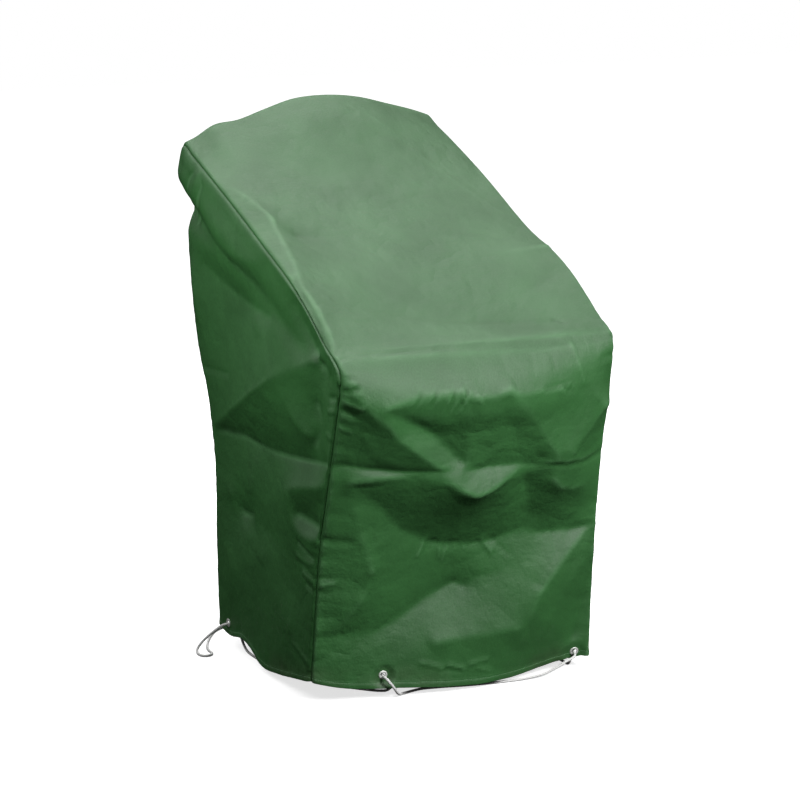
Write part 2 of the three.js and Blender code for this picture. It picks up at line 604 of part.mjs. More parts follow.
// A pressed eyelet: a barrel with a flange on each face of the cloth
function eyeletGeometry() {
  const { bore, barrel, rim, flange, bevel, clearance, sides } = EYELET;
  const outer = clearance;
  const inner = -CLOTH - clearance;
  const [top, bottom] = [outer + flange, inner - flange];
  const profile = [
    [bore, bottom], [rim - bevel / 2, bottom], [rim, inner], [barrel, inner], [barrel, outer],
    [rim, outer], [rim - bevel, top], [bore + bevel, top], [bore, top - flange / 2], [bore, bottom],
  ];
  return new THREE.LatheGeometry(profile.map(([r, h]) => new THREE.Vector2(r, h)), sides);
}

function mesh(name, geometry, material) {
  const made = new THREE.Mesh(geometry, material);
  made.name = name;
  return made;
}

const cloth = new THREE.Group();
const cuts = {
  centre_strip: centreStrip(),
  left_panel: sidePanel("left_panel", "left", -1, HEM_LEFT),
  right_panel: sidePanel("right_panel", "right", 1, HEM_RIGHT),
};
for (const [name, geometry] of Object.entries(cuts)) {
  cloth.add(mesh(name, pierced(geometry, name), MATERIALS.cloth));
}

const eyelets = new THREE.Group();
for (const eyelet of eyeletFrames) {
  eyelets.add(mesh(eyelet.name, placed(eyeletGeometry(), eyelet), MATERIALS.eyelet));
}

// A ring of the tube stands at each point of the route
class CordPath extends THREE.CatmullRomCurve3 {
  getPointAt(t, target) {
    return this.getPoint(t, target);
  }

  getTangentAt(t, target) {
    return this.getTangent(t, target);
  }
}

function cordGeometry(route) {
  const section = new THREE.Shape(
    Array.from({ length: CORD_SIDES }, (_, k) => {
      const angle = (2 * Math.PI * (k + 0.5)) / CORD_SIDES;
      return new THREE.Vector2(CORD_RADIUS * Math.cos(angle), CORD_RADIUS * Math.sin(angle));
    }),
  );
  return new THREE.ExtrudeGeometry(section, {
    steps: route.length - 1,
    extrudePath: new CordPath(route.map((point) => new THREE.Vector3(...point))),
  });
}

const cord = new THREE.Group();
for (const [name, route] of Object.entries(CORD_ROUTES)) {
  cord.add(mesh(name, cordGeometry(route), MATERIALS.cord));
}

const cover = new THREE.Group();
cover.name = "stacking_chair_cover";
cover.add(cloth, eyelets, cord);
cover.position.copy(CARRIED_AT).negate();

export default cover;
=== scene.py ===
"""Looks of the stacking chair cover: its three pieces of cloth, eyelets, drawcord and hem stitching."""
import math
from typing import NamedTuple

import bpy
import numpy as np
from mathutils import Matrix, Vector


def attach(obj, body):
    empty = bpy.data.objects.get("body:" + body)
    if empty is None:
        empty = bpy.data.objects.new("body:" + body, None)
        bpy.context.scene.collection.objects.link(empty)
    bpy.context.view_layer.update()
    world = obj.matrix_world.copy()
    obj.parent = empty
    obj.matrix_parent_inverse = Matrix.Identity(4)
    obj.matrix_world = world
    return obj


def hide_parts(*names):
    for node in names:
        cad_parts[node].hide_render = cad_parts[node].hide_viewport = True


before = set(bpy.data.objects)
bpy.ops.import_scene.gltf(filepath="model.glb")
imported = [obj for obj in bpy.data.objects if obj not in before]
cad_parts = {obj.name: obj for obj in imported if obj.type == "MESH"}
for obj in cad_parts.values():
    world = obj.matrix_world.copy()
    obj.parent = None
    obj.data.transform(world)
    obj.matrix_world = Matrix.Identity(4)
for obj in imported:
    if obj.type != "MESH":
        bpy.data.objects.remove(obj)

bl_info = {
    "name": "Stacking chair cover",
    "version": (1, 0, 0),
    "blender": (4, 5, 0),
    "location": "3D View > Sidebar > Cover",
    "description": "Makes a fitted cloth cover with its eyelets, drawcord and hem stitching",
    "category": "Add Mesh",
}

# Tables are in millimetres over the ground that the cord lies on, front towards -Y
MM = 0.001
CARRIED_AT = np.array((0.0, 428.0, 1213.0))  # this point becomes the origin
HALF_WIDTH = 330.0  # from the middle to a side seam
CROWN = 2.6  # power by which the strip bows out between its seams
ROLL = 10.0  # width of the rounding beside a seam
ROLL_DEPTH = 5.5  # how far the seam lies inside the flat cloth
HEM_HEIGHT = 34.0  # as the first and last cut have it
HEM_FADE = 300.0  # the hem's rise and fall dies out this far up the cloth

# Cuts across the strip, from the front hem over the top to the back hem: y and z at the left seam,
# in the middle and at the right seam
SECTIONS = {
    "hem_front": (-258, 34, -300, 34, -322, 34),
    "shin": (-276, 160, -322, 160, -326, 160),
    "knee": (-302, 340, -352, 340, -338, 340),
    "thigh": (-348, 500, -378, 490, -352, 490),
    "apron": (-388, 640, -402, 610, -378, 640),
    "turn": (-404, 700, -418, 668, -390, 710),
    "under_nose": (-410, 738, -412, 715, -394, 748),
    "nose": (-400, 764, -390, 762, -384, 776),
    "over_nose": (-350, 794, -334, 796, -340, 803),
    "lap": (-225, 876, -215, 858, -210, 888),
    "arm": (-20, 966, -20, 950, -30, 952),
    "shoulder": (190, 1050, 190, 1050, 190, 1052),
    "neck": (350, 1110, 372, 1130, 400, 1132),
    "crest": (403, 1128, 428, 1140, 462, 1152),
    "nape": (420, 1105, 450, 1112, 478, 1122),
    "back_high": (394, 1000, 420, 1005, 430, 1010),
    "back_upper": (380, 880, 398, 880, 400, 880),
    "back_mid": (345, 700, 365, 700, 365, 700),
    "back_low": (282, 560, 302, 560, 300, 560),
    "calf": (252, 430, 275, 420, 270, 420),
    "ankle": (250, 220, 265, 220, 262, 220),
    "hem_back": (242, 34, 256, 34, 262, 34),
}

# Height of the hem along each edge, and rise of the arch over the crest: place, height
HEM_FRONT = [(-330, 55), (-270, 38), (-110, 25), (75, 14), (200, 17), (330, 34)]
HEM_BACK = [(-330, 46), (-150, 30), (100, 24), (330, 40)]
HEM_LEFT = [(-258, 55), (-183, 40), (-100, 24), (3, 18), (50, 38), (90, 46), (170, 35), (242, 46)]
HEM_RIGHT = [(-322, 34), (-170, 22), (0, 20), (140, 31), (262, 40)]
ARCH = [
    (-330, 0), (-300, 10), (-255, 33), (-190, 40), (-120, 58), (-50, 74), (30, 76), (130, 62),
    (200, 42), (280, 18), (330, 0),
]
ARCH_BEFORE = 190.0  # the arch dies out this far in front of the crest
ARCH_BEHIND = 330.0  # and this far down the back

# Folds of the strip: place across, length up the cut, and how far the cloth stands out there
STRIP_FOLDS = {
    "hem": [
        (-330, 0, 0), (-220, 0, 2), (-120, 0, 12), (-40, 0, 18), (50, 0, 17), (130, 0, 4),
        (200, 0, -16), (250, 0, -24), (290, 0, -17), (330, 0, 0),
    ],
    "crease_high": [(-280, 770, 5), (-105, 758, 12), (120, 745, 16), (210, 742, 15), (305, 735, 4)],
    "turn": [
        (-245, 668, 38), (-195, 685, 37), (-150, 690, 37), (-80, 692, 38), (-65, 690, 39),
        (-40, 680, 38), (15, 682, 40), (40, 686, 42), (65, 676, 39), (125, 675, 30), (210, 665, 21),
        (240, 655, 17),
    ],
    "under_turn": [(-150, 652, 24), (-85, 650, 23)],
    "diagonal": [
        (-322, 735, 4), (-312, 705, 18), (-285, 672, 29), (-262, 655, 32), (-230, 635, 34),
        (-205, 605, 34), (-160, 568, 34), (-115, 530, 32), (-92, 510, 30),
    ],
    "left_hollow": [(-308, 640, 11), (-268, 590, 19), (-222, 545, 21), (-185, 530, 23)],
    "diagonal_side": [
        (-245, 668, 34), (-200, 652, 21), (-155, 632, 13), (-105, 590, 10), (-65, 545, 12),
        (-50, 518, 17),
    ],
    "upright": [(-62, 684, 38), (-40, 635, 29), (-34, 570, 24), (-38, 520, 23)],
    "hollow_right": [
        (36, 668, 36), (32, 650, 31), (50, 615, 26), (85, 565, 24), (120, 530, 23), (145, 506, 22),
    ],
    "right_edge": [
        (44, 683, 41), (90, 650, 37), (120, 610, 36), (145, 570, 38), (165, 540, 40), (182, 512, 42),
    ],
    "right_middle": [(190, 620, 26), (208, 560, 34), (218, 515, 41)],
    "knob": [(240, 655, 17), (275, 630, 24), (305, 600, 26), (326, 590, 10)],
    "corner_fold": [(200, 515, 41), (240, 545, 36), (278, 580, 29), (305, 600, 26)],
    "crease_low": [
        (-325, 512, -6), (-300, 520, 0), (-285, 516, 4), (-240, 514, 8), (-185, 510, 14),
        (-100, 508, 28), (-75, 507, 31), (-50, 505, 30), (-20, 502, 22), (0, 500, 16), (55, 500, 12),
        (100, 498, 12), (128, 495, 17), (158, 491, 33), (205, 486, 38), (262, 478, 23), (300, 479, 7),
        (328, 484, 0),
    ],
    "peak": [
        (-290, 486, 13), (-250, 492, 19), (-210, 498, 19), (-150, 494, 19), (-105, 490, 28),
        (-75, 478, 38), (-42, 455, 47), (-15, 442, 50), (22, 452, 42), (62, 470, 28), (98, 488, 16),
    ],
    "pocket": [
        (-290, 474, 10), (-225, 430, -2), (-155, 355, -20), (-80, 314, -30), (-30, 302, -34),
        (45, 294, -36), (90, 302, -34), (138, 318, -30), (152, 345, -24), (137, 400, -8), (120, 455, 4),
    ],
    "right_bulge": [(180, 452, 33), (205, 425, 30), (250, 420, 22), (290, 425, 11)],
    "left_middle": [(-270, 420, 6), (-240, 340, 8), (-215, 270, 7)],
    "shelf": [
        (90, 302, -34), (150, 310, -28), (210, 304, -24), (270, 302, -18), (300, 306, -10),
        (327, 308, 0),
    ],
    "lean_right": [
        (297, 298, -4), (262, 268, 4), (215, 222, 14), (178, 185, 18), (155, 130, 19), (140, 75, 15),
    ],
    "lean_far": [(314, 262, -2), (268, 208, 8), (230, 160, 11), (206, 100, 8), (196, 60, 1)],
    "right_hollow": [(322, 250, 2), (314, 180, -5), (304, 110, -13), (290, 50, -20)],
    "crease_hem": [
        (-295, 118, -8), (-190, 118, -21), (-135, 142, -31), (-75, 177, -40), (-30, 197, -43),
        (-10, 208, -42), (15, 197, -37), (30, 214, -30),
    ],
    "lit_edge": [(30, 216, -30), (85, 228, -22), (130, 222, -9), (178, 196, 10)],
    "lit_foot": [(-60, 95, 8), (40, 105, 13), (85, 108, 18), (130, 112, 21)],
    "fold_left": [(-292, 125, -5), (-262, 165, 2), (-240, 200, 5), (-225, 225, 4)],
    "lap_band": [(-180, 925, -5), (-90, 880, -11), (20, 845, -13), (130, 828, -12), (220, 812, -6)],
    "lap_hollow": [(310, 960, -4), (240, 940, -10), (170, 905, -9), (110, 880, -7)],
    "shoulder": [(140, 1075, 0), (245, 1062, 7), (318, 1055, 8)],
    "slope_middle": [(-240, 1180, 0), (0, 1150, 0), (240, 1160, 0)],
    "slope_edge": [
        (-320, 1440, 0), (-296, 1345, 14), (-284, 1270, 20), (-277, 1220, 24), (-284, 1190, 20),
        (-288, 1130, 20), (-296, 1060, 16), (-308, 1000, 9),
    ],
    "seam_lip": [(-316, 1000, 5), (-310, 960, 8), (-308, 900, 10), (-312, 840, 8), (-318, 800, 4)],
    "crest": [(-330, 1640, 0), (330, 1640, 0)],
    "nape": [(-330, 1800, 0), (330, 1800, 0)],
    "back_left": [(-140, 1900, 3), (-175, 2250, 10), (-160, 2690, 2)],
    "back_middle": [(70, 1900, -2), (30, 2320, -11), (60, 2700, -3)],
    "back_right": [(215, 1980, 2), (240, 2380, 9), (205, 2720, 2)],
    "back_crease": [
        (-325, 2290, 0), (-230, 2300, 2), (-174, 2304, 7), (-90, 2310, -5), (32, 2308, -11),
        (130, 2305, -8), (234, 2300, 6), (320, 2296, 0),
    ],
    "hem_back": [(-330, 2786, 0), (330, 2786, 0)],
}

# Folds of the side panels: y, z and how far the cloth stands out there
LEFT_FOLDS = {
    "crease_high": [
        (232, 508, 2), (175, 535, 10), (110, 570, 16), (50, 600, 20), (-20, 638, 24), (-95, 675, 24),
        (-145, 700, 20), (-230, 735, 12), (-318, 768, 2),
    ],
    "crease_low": [
        (232, 502, 0), (165, 510, -8), (85, 515, -14), (20, 507, -16), (-85, 515, -16),
        (-215, 530, -14), (-345, 550, -8),
    ],
    "facet_low": [(-140, 445, 4), (-195, 465, 14), (-295, 490, 14), (-350, 502, 6)],
    "pocket_low": [(-205, 412, -6), (-240, 405, -12), (-275, 405, -14), (-325, 412, -8)],
    "light_ridge": [(-170, 440, 10), (-180, 395, 8), (-215, 378, 10), (-250, 372, 11), (-320, 380, 2)],
    "upright": [(5, 790, -2), (-40, 745, 6), (-105, 690, 23)],
    "seam_valley": [(-180, 862, -6), (-235, 812, -13), (-295, 765, -15), (-362, 722, -8)],
    "seam_ridge": [(262, 975, 12), (206, 945, 20), (113, 915, 20), (40, 912, 12), (-20, 925, 5)],
    "high_hollow": [(290, 870, -2), (230, 850, -8), (160, 832, -12), (60, 815, -13), (-60, 805, -8)],
    "streak": [(-135, 690, 19), (-175, 645, 15), (-210, 615, 14), (-260, 592, 6)],
    "dark_front": [(-285, 665, -12), (-312, 625, -8), (-275, 575, -11)],
    "dimple": [(130, 342, -8), (120, 345, -12), (100, 335, -18), (55, 340, -12)],
    "ray_down": [(95, 330, -16), (70, 300, -4), (75, 240, 0)],
    "ray_front": [(55, 338, -12), (-15, 262, 0)],
    "ray_low": [(35, 343, -8), (-40, 327, -8), (-150, 310, 0)],
    "ray_back": [(160, 372, 2), (120, 346, -12)],
    "ray_up": [(50, 347, -12), (50, 405, -2), (30, 470, -8)],
    "leaf": [(300, 1085, 6), (306, 1050, 15), (316, 1015, 14), (332, 985, 2)],
    "corner": [(380, 1105, 6), (374, 1060, 12), (362, 1015, 7), (350, 975, -3)],
    "band": [(345, 858, 6), (325, 790, 10), (300, 714, 4)],
    "low_back": [(190, 300, 0), (150, 200, 4), (160, 110, 0)],
    "low_front": [(-150, 100, 0), (-160, 150, 5), (-200, 230, 0)],
}
RIGHT_FOLDS = {
    "crease_high": [(240, 520, 0), (90, 585, 12), (-60, 650, 16), (-200, 700, 10), (-300, 745, 2)],
    "crease_low": [(240, 500, 0), (60, 515, -11), (-120, 520, -14), (-330, 540, -4)],
    "upright": [(60, 800, 2), (10, 740, 6), (-30, 660, 14)],
    "seam_ridge": [(250, 1040, 8), (120, 995, 12), (0, 950, 8)],
    "hollow": [(260, 940, -5), (120, 880, -12), (-60, 850, -10), (-180, 800, -3)],
    "light_ridge": [(-60, 420, 2), (-170, 380, 9), (-270, 350, 4)],
    "low_back": [(180, 330, 0), (140, 220, 7), (150, 110, 0)],
    "low_front": [(-120, 110, 0), (-160, 190, 6), (-230, 260, 0)],
}

# Sharp creases on top of the folds: two places and a height, below zero for a valley
CREASE_WIDTH = 15.0  # a crease dies out this far from its line
STRIP_CREASES = {
    "high": [
        (-285, 771, 0), (-200, 765, -3), (-105, 759, -2.2), (120, 746, -3), (210, 742, -3),
        (318, 736, -1.5),
    ],
    "turn": [
        (-150, 692, 0.8), (-80, 693, 2), (-65, 690, 1), (-40, 681, 2), (15, 683, 1), (40, 687, 2.5),
        (65, 677, 1.5), (125, 676, 1.8), (180, 670, 1.8), (212, 665, 0),
    ],
    "low_left": [
        (-326, 512, 0), (-300, 520, -3), (-240, 514, -3), (-185, 510, -2.5), (-100, 508, -2),
        (-20, 502, -1.5), (55, 500, -1.5), (98, 498, 0),
    ],
    "low_right": [
        (98, 497, -1), (128, 495, -2.5), (158, 491, -3), (210, 485, -3), (262, 478, -2.6),
        (328, 484, -1),
    ],
    "low_right_lip": [(150, 505, 1), (210, 499, 2), (262, 492, 2), (320, 496, 1)],
    "pinch": [(206, 664, -2.5), (175, 672, -1.5), (125, 676, 0)],
    "knob": [(300, 597, 0), (312, 592, 4), (322, 588, 0)],
    "slope_edge": [
        (-320, 1440, 0), (-284, 1270, 0.6), (-277, 1220, 1), (-286, 1180, 0.4), (-308, 1000, 0),
    ],
    "seam_wedge": [(-320, 1010, 0), (-321, 960, -8), (-321, 880, -10), (-323, 820, -8), (-325, 790, 0)],
    "pocket_edge": [(-272, 470, -2.5), (-225, 474, -1), (-190, 480, 0)],
    "shelf_edge": [(292, 300, 0), (312, 304, 3), (325, 306, 0)],
    "hem_line": [(-30, 197, -1.5), (-5, 208, -2.5), (15, 200, -1), (30, 215, -1.5), (85, 225, 0)],
    "pocket_bottom": [
        (-110, 330, 0), (-85, 314, -2), (-60, 309, -3), (-38, 298, -2), (-15, 303, -2.5), (15, 292, -2),
        (45, 297, -2.5), (70, 294, -2), (95, 306, -2), (130, 316, 0),
    ],
}
LEFT_CREASES = {
    "high": [(232, 508, 0), (110, 570, 1.5), (-20, 638, 2.5), (-95, 676, 2), (-150, 702, 0)],
    "low": [
        (235, 501, 0), (85, 514, -1.5), (-60, 512, -2.5), (-85, 515, -3), (-215, 530, -3.5),
        (-352, 551, -2),
    ],
    "leaf": [(300, 1092, 0), (279, 1048, -4), (290, 1008, -5), (320, 975, -4), (345, 935, 0)],
    "leaf_back": [(306, 1088, 0), (338, 1058, -4), (350, 1022, -3), (346, 985, 0)],
    "dimple": [(130, 344, 0), (104, 336, -4), (60, 342, -3), (40, 330, 0)],
}

# Small wrinkles on top of the folds: both ends, height, below zero for a trough, and half width
STRIP_WRINKLES = [
    (-280, 771, -105, 759, -0.9, 4), (-105, 759, 120, 746, -1.1, 4), (120, 746, 210, 743, -1.1, 4),
    (210, 743, 318, 736, -0.9, 4), (212, 742, 236, 668, 1.5, 7), (-324, 350, -268, 343, -3.5, 17),
    (-322, 266, -298, 262, -2.5, 7), (-322, 246, -294, 250, 2.5, 9), (-322, 232, -300, 226, -2, 7),
    (-90, 320, -104, 285, 3, 8), (-70, 316, -76, 292, -2, 6), (-52, 312, -50, 272, 2.6, 7),
    (-38, 284, -42, 262, 2.6, 6), (-28, 308, -22, 284, -2, 6), (0, 304, 10, 284, 2, 6),
    (48, 302, 72, 272, 3, 8), (70, 304, 110, 262, -2, 8), (-168, 692, -186, 672, -1.5, 6),
    (-132, 694, -146, 676, -1.8, 6), (-108, 694, -104, 680, 1.5, 5), (-92, 693, -104, 662, -2.2, 6),
    (-74, 695, -66, 678, 2.4, 6), (-62, 692, -86, 664, -2, 6), (-38, 686, -26, 672, 1.6, 6),
    (110, 1565, 180, 1485, 1.2, 6), (180, 1485, 230, 1375, 1.2, 6), (230, 1375, 295, 1225, 1.0, 6),
    (215, 820, 232, 800, -3, 7), (-90, 52, -40, 40, 2.5, 7), (-30, 46, 10, 36, 2.5, 6),
    (-40, 36, 0, 30, -2, 5), (20, 44, 60, 52, 2.5, 6), (40, 34, 70, 26, 2, 5),
    (-328, 690, -302, 700, -5, 9), (-326, 668, -292, 664, 4, 8), (-326, 650, -300, 644, -4, 8),
    (-324, 606, -300, 602, 2, 8),
]
LEFT_WRINKLES = [
    (300, 632, 140, 647, -2, 8), (-235, 290, -308, 280, 4, 10), (-245, 268, -306, 262, -3, 9),
    (-215, 352, -300, 330, -4, 12), (-205, 322, -305, 318, 3, 11), (-180, 120, -250, 95, 2.5, 10),
    (-356, 690, -390, 698, -4, 10), (-352, 662, -386, 668, 4, 9), (-340, 612, -370, 606, 2.5, 9),
]
RIGHT_CREASES = {"low": [(245, 500, 0), (60, 514, -2), (-120, 519, -2.5), (-335, 540, 0)]}
RIGHT_WRINKLES = [(-220, 330, -300, 322, -3, 12), (-240, 290, -306, 284, 3, 10)]

# Places where the back's left seam is drawn in or stands out: middle, way and reach
PULLS = [((-330, 392, 988), (15, -8, 0), 28), ((-330, 414, 1052), (-4, 3, 0), 34)]

# How much each seam is puckered along the cut: length up the cut, height
PUCKERS = [
    (0, 1.0), (120, 0.8), (200, 1.2), (300, 2.4), (360, 2.6), (420, 1.2), (500, 1.4), (540, 1.8),
    (600, 0.8), (680, 2.2), (800, 2.4), (860, 1.0), (1000, 0.8), (1300, 0.5), (1600, 0.8), (1800, 0.8),
    (2300, 1.2), (2791, 1.0),
]

# Eyelets: the middle of each on the cloth's outer face, and the way that the face looks there
EYELETS = {
    "eyelet_front_left": ("centre_strip", (-169, -283, 55), (-0.12, -0.99, -0.05)),
    "eyelet_front_right": ("centre_strip", (294, -305, 44), (-0.2, -0.95, -0.2)),
    "eyelet_left": ("left_panel", (-330, 177, 62), (-1, 0, 0)),
    "eyelet_right": ("right_panel", (330, 177, 56), (1, 0, 0)),
}

# Routes of the cord's four stretches, from eyelet to eyelet
CORD_ROUTES = {
    "cord_front": [
        (-168.9, -282.2, 52.8), (-169.5, -287.2, 52.5), (-168.2, -294.7, 50.9), (-165.1, -300.1, 46.7),
        (-160.3, -302.3, 39.6), (-149, -300.5, 25), (-139.5, -294.5, 13), (-129, -286, 6),
        (-115, -277, 3), (-72, -269, 3), (-27, -277, 3), (30, -293, 3), (105, -308, 3),
        (165, -315, 3.5), (210, -321, 10), (243, -324.5, 22), (262, -324.5, 30.5),
        (275.6, -323.4, 34.4), (283.3, -321.5, 36.6), (289.7, -316.2, 39), (293.2, -309, 41),
        (294.2, -304.2, 42),
    ],
    "cord_left": [
        (-168.9, -281.9, 52.8), (-168.3, -277, 53), (-166, -268.4, 52.2), (-161.3, -262.5, 48.5),
        (-156, -260.6, 43.6), (-147.3, -262.3, 34.5), (-138, -260.5, 25.5), (-136, -256.5, 14.5),
        (-142.5, -249.5, 5.8), (-154.5, -239, 3), (-184, -212, 3), (-236, -149, 3), (-278, -62, 3),
        (-300, 40, 3), (-304.5, 114, 3), (-305, 131, 5.5), (-306, 144, 13.5), (-307, 154.5, 25.5),
        (-308, 162, 37), (-308.8, 168.7, 47.3), (-310.8, 172.8, 53.5), (-316.3, 175.9, 58.1),
        (-323.8, 177, 59.8), (-328.8, 177, 59.8),
    ],
    "cord_right": [
        (294.2, -303.9, 42), (295.2, -299.1, 43), (296.6, -292.1, 41.7), (297.5, -286.6, 37.1),
        (298, -283.2, 28.4), (298.2, -281.6, 18.8), (298.7, -278.6, 10.2), (298.9, -273.4, 5.2),
        (299, -265, 3.2), (299.1, -254, 3), (299.6, -225, 3), (301, -150, 3), (303, -10, 3),
        (304.5, 114, 3), (305, 131, 4.8), (306, 144.5, 11.5), (307, 155, 21.5), (308, 162.5, 32),
        (308.8, 168.7, 41.3), (310.8, 172.8, 47.5), (316.3, 175.9, 52.1), (323.8, 177, 53.8),
        (328.8, 177, 53.8),
    ],
    "cord_back": [
        (329.1, 177, 53.8), (334.5, 177, 53.8), (342, 178.2, 52.2), (347.5, 181.5, 47.8),
        (349.5, 186, 41.8), (349.8, 197, 27), (349.3, 209, 13.5), (346.5, 224, 5), (340, 243, 3),
        (312, 282, 3), (250, 306, 3), (140, 307, 3), (0, 302, 3), (-130, 308, 3), (-230, 319, 3),
        (-282, 319, 3), (-309, 303, 3), (-332, 276, 3), (-356, 238, 3), (-374, 199, 3), (-379, 176, 3),
        (-379, 161, 3), (-383.4, 150.4, 3), (-394, 146, 3), (-404.6, 150.4, 3), (-409, 161, 3),
        (-408.5, 174, 3.4), (-403.5, 186, 8.5), (-392, 191, 19), (-377, 188, 33.5), (-361, 183, 47),
        (-347, 178.6, 56.6), (-336.5, 177.1, 59.6), (-329.1, 177, 59.8),
    ],
}

# Lights: offset from the camera's target in metres, size in metres, power in watts, whether gloss shows it
LIGHTS = {
    "key_light": ((0.8, -3.0, 2.0), 1.4, 142.0, True),
    "top_light": ((0.2, 0.9, 2.4), 2.0, 39.0, True),
    "left_light": ((-1.1, -0.1, 0.7), 0.7, 7.2, False),
    "back_light": ((0.6, 2.7, 0.9), 1.4, 45.0, False),
}

# Seeds of the gathers along the strip's seams and hems. A seam takes the next seed too.
LEFT_SEAM_SEED, RIGHT_SEAM_SEED, STRIP_HEM_SEED = 11, 21, 31


class Panel(NamedTuple):
    """What one side panel has of its own."""

    cloth: str  # the solid that it replaces
    side: float  # -1 for the left, 1 for the right
    hem: list
    folds: dict
    creases: dict
    wrinkles: list
    seed: int  # the first of the seeds of its gathers


PANELS = {
    "cover_left": Panel("left_panel", -1.0, HEM_LEFT, LEFT_FOLDS, LEFT_CREASES, LEFT_WRINKLES, 41),
    "cover_right": Panel("right_panel", 1.0, HEM_RIGHT, RIGHT_FOLDS, RIGHT_CREASES, RIGHT_WRINKLES, 51),
}
PANEL_GRID = ((-430, 0), (490, 1180))  # lowest and highest y and z of the panels' folds
PANEL_DEPTH = 620.0  # about how far the back seam is from the front seam
PANEL_EDGE = 22.0  # the panels' folds die out this near a seam
PANEL_HEM_END = 12.0  # and their hem's relief this near

# Gathers beside a seam: spacing along it, distance at which they are highest, and share of the height
GATHERS = ((9, 7, 0.45), (17, 16, 0.55))
UNEVEN_KNOTS = 600  # random values of a run of unevenness, after which it starts again

# The left seam lies deeper over the lap: where that comes in, where it dies out, and by what share
DEEP_FROM, DEEP_TO, DEEPER = (800, 840), (950, 1020), 0.5

# Relief of a hem: its doubled cloth, the groove under its thread and its gathers
HEM_DOUBLED, HEM_GROOVE, HEM_GATHERS = 1.3, -1.2, 0.9
STRIP_HEM_START, PANEL_HEM_START = -400, -500  # the gathers are counted from here along a hem

# Lines of the grids of cloth, by their distance from a seam and from a hem's edge
SEAM_LINES = np.array((0.0, 1.2, 3.0, 6.0, 10.0, 14.5))
HEM_LINES = np.array((0.0, 1.0, 3.0, 7.0, 9.8, 11.2, 12.6, 14.5, 17.0, 21.0, 25.5, 30.0, 35.0))
STITCH_LINE = 5  # which of the hem's lines the thread follows
FRONT_STEP, SLOPE_STEP, CREST_STEP, BACK_STEP = 5.2, 10, 7, 14  # from row to row up the strip

# A stitch, from end to end: share of the pitch, share of the thread's radius
STITCH_RINGS = ((0.1, 0.1), (0.17, 0.8), (0.5, 1.0), (0.83, 0.8), (0.9, 0.1))
STITCH_SIDES = 6


def unit(vectors):
    """The vectors at length one."""
    return vectors / np.linalg.norm(vectors, axis=-1, keepdims=True)


def smoothstep(low, high, value):
    """0 below low, 1 above high and a soft step between."""
    t = np.clip((value - low) / (high - low), 0, 1)
    return t * t * (3 - 2 * t)


def lengths(points, power=1.0):
    """Length along a line of points up to each, with every step to that power."""
    steps = np.linalg.norm(np.diff(points, axis=0), axis=1) ** power
    return np.concatenate([[0], np.cumsum(steps)])


def along_line(at, places, points):
    """Points between a line's own points, whose places along it are given."""
    return np.stack([np.interp(at, places, points[:, k]) for k in range(3)], -1)


def curve(knots, values, at):
    """Smooth curve through the values at the knots."""
    knots, values = np.asarray(knots, float), np.asarray(values, float)
    at = np.clip(np.asarray(at, float), knots[0], knots[-1])
    tail = (1,) * (values.ndim - 1)
    step = np.diff(knots)
    rise = np.diff(values, axis=0) / step.reshape(-1, *tail)
    slope = np.empty_like(values)
    slope[0], slope[-1] = rise[0], rise[-1]
    share = (step[1:] / (step[1:] + step[:-1])).reshape(-1, *tail)
    slope[1:-1] = rise[:-1] * share + rise[1:] * (1 - share)
    i = np.clip(np.searchsorted(knots, at, side="right") - 1, 0, len(step) - 1)
    t = ((at - knots[i]) / step[i]).reshape(at.shape + tail)
    h = step[i].reshape(at.shape + tail)
    return (
        values[i] * (2 * t**3 - 3 * t**2 + 1)
        + values[i + 1] * (3 * t**2 - 2 * t**3)
        + slope[i] * h * (t**3 - 2 * t**2 + t)
        + slope[i + 1] * h * (t**3 - t**2)
    )


def table_curve(rows, at):
    """Smooth curve through a table of places and values."""
    places, values = np.array(rows, float).T
    return curve(places, values, at)


# The cuts as rows of six numbers, and their places up the strip
CUTS = np.array(list(SECTIONS.values()), float)
CUT_PLACES = lengths((CUTS[:, 0:2] + CUTS[:, 2:4] + CUTS[:, 4:6]) / 3)
CUT_AT = dict(zip(SECTIONS, CUT_PLACES))
NOSE, CREST, CUT_END = CUT_AT["nose"], CUT_AT["crest"], CUT_AT["hem_back"]
SLOPE_FROM, CREST_FROM, CREST_TO = NOSE + 60, CREST - 120, CREST + 100  # where the rows' step changes


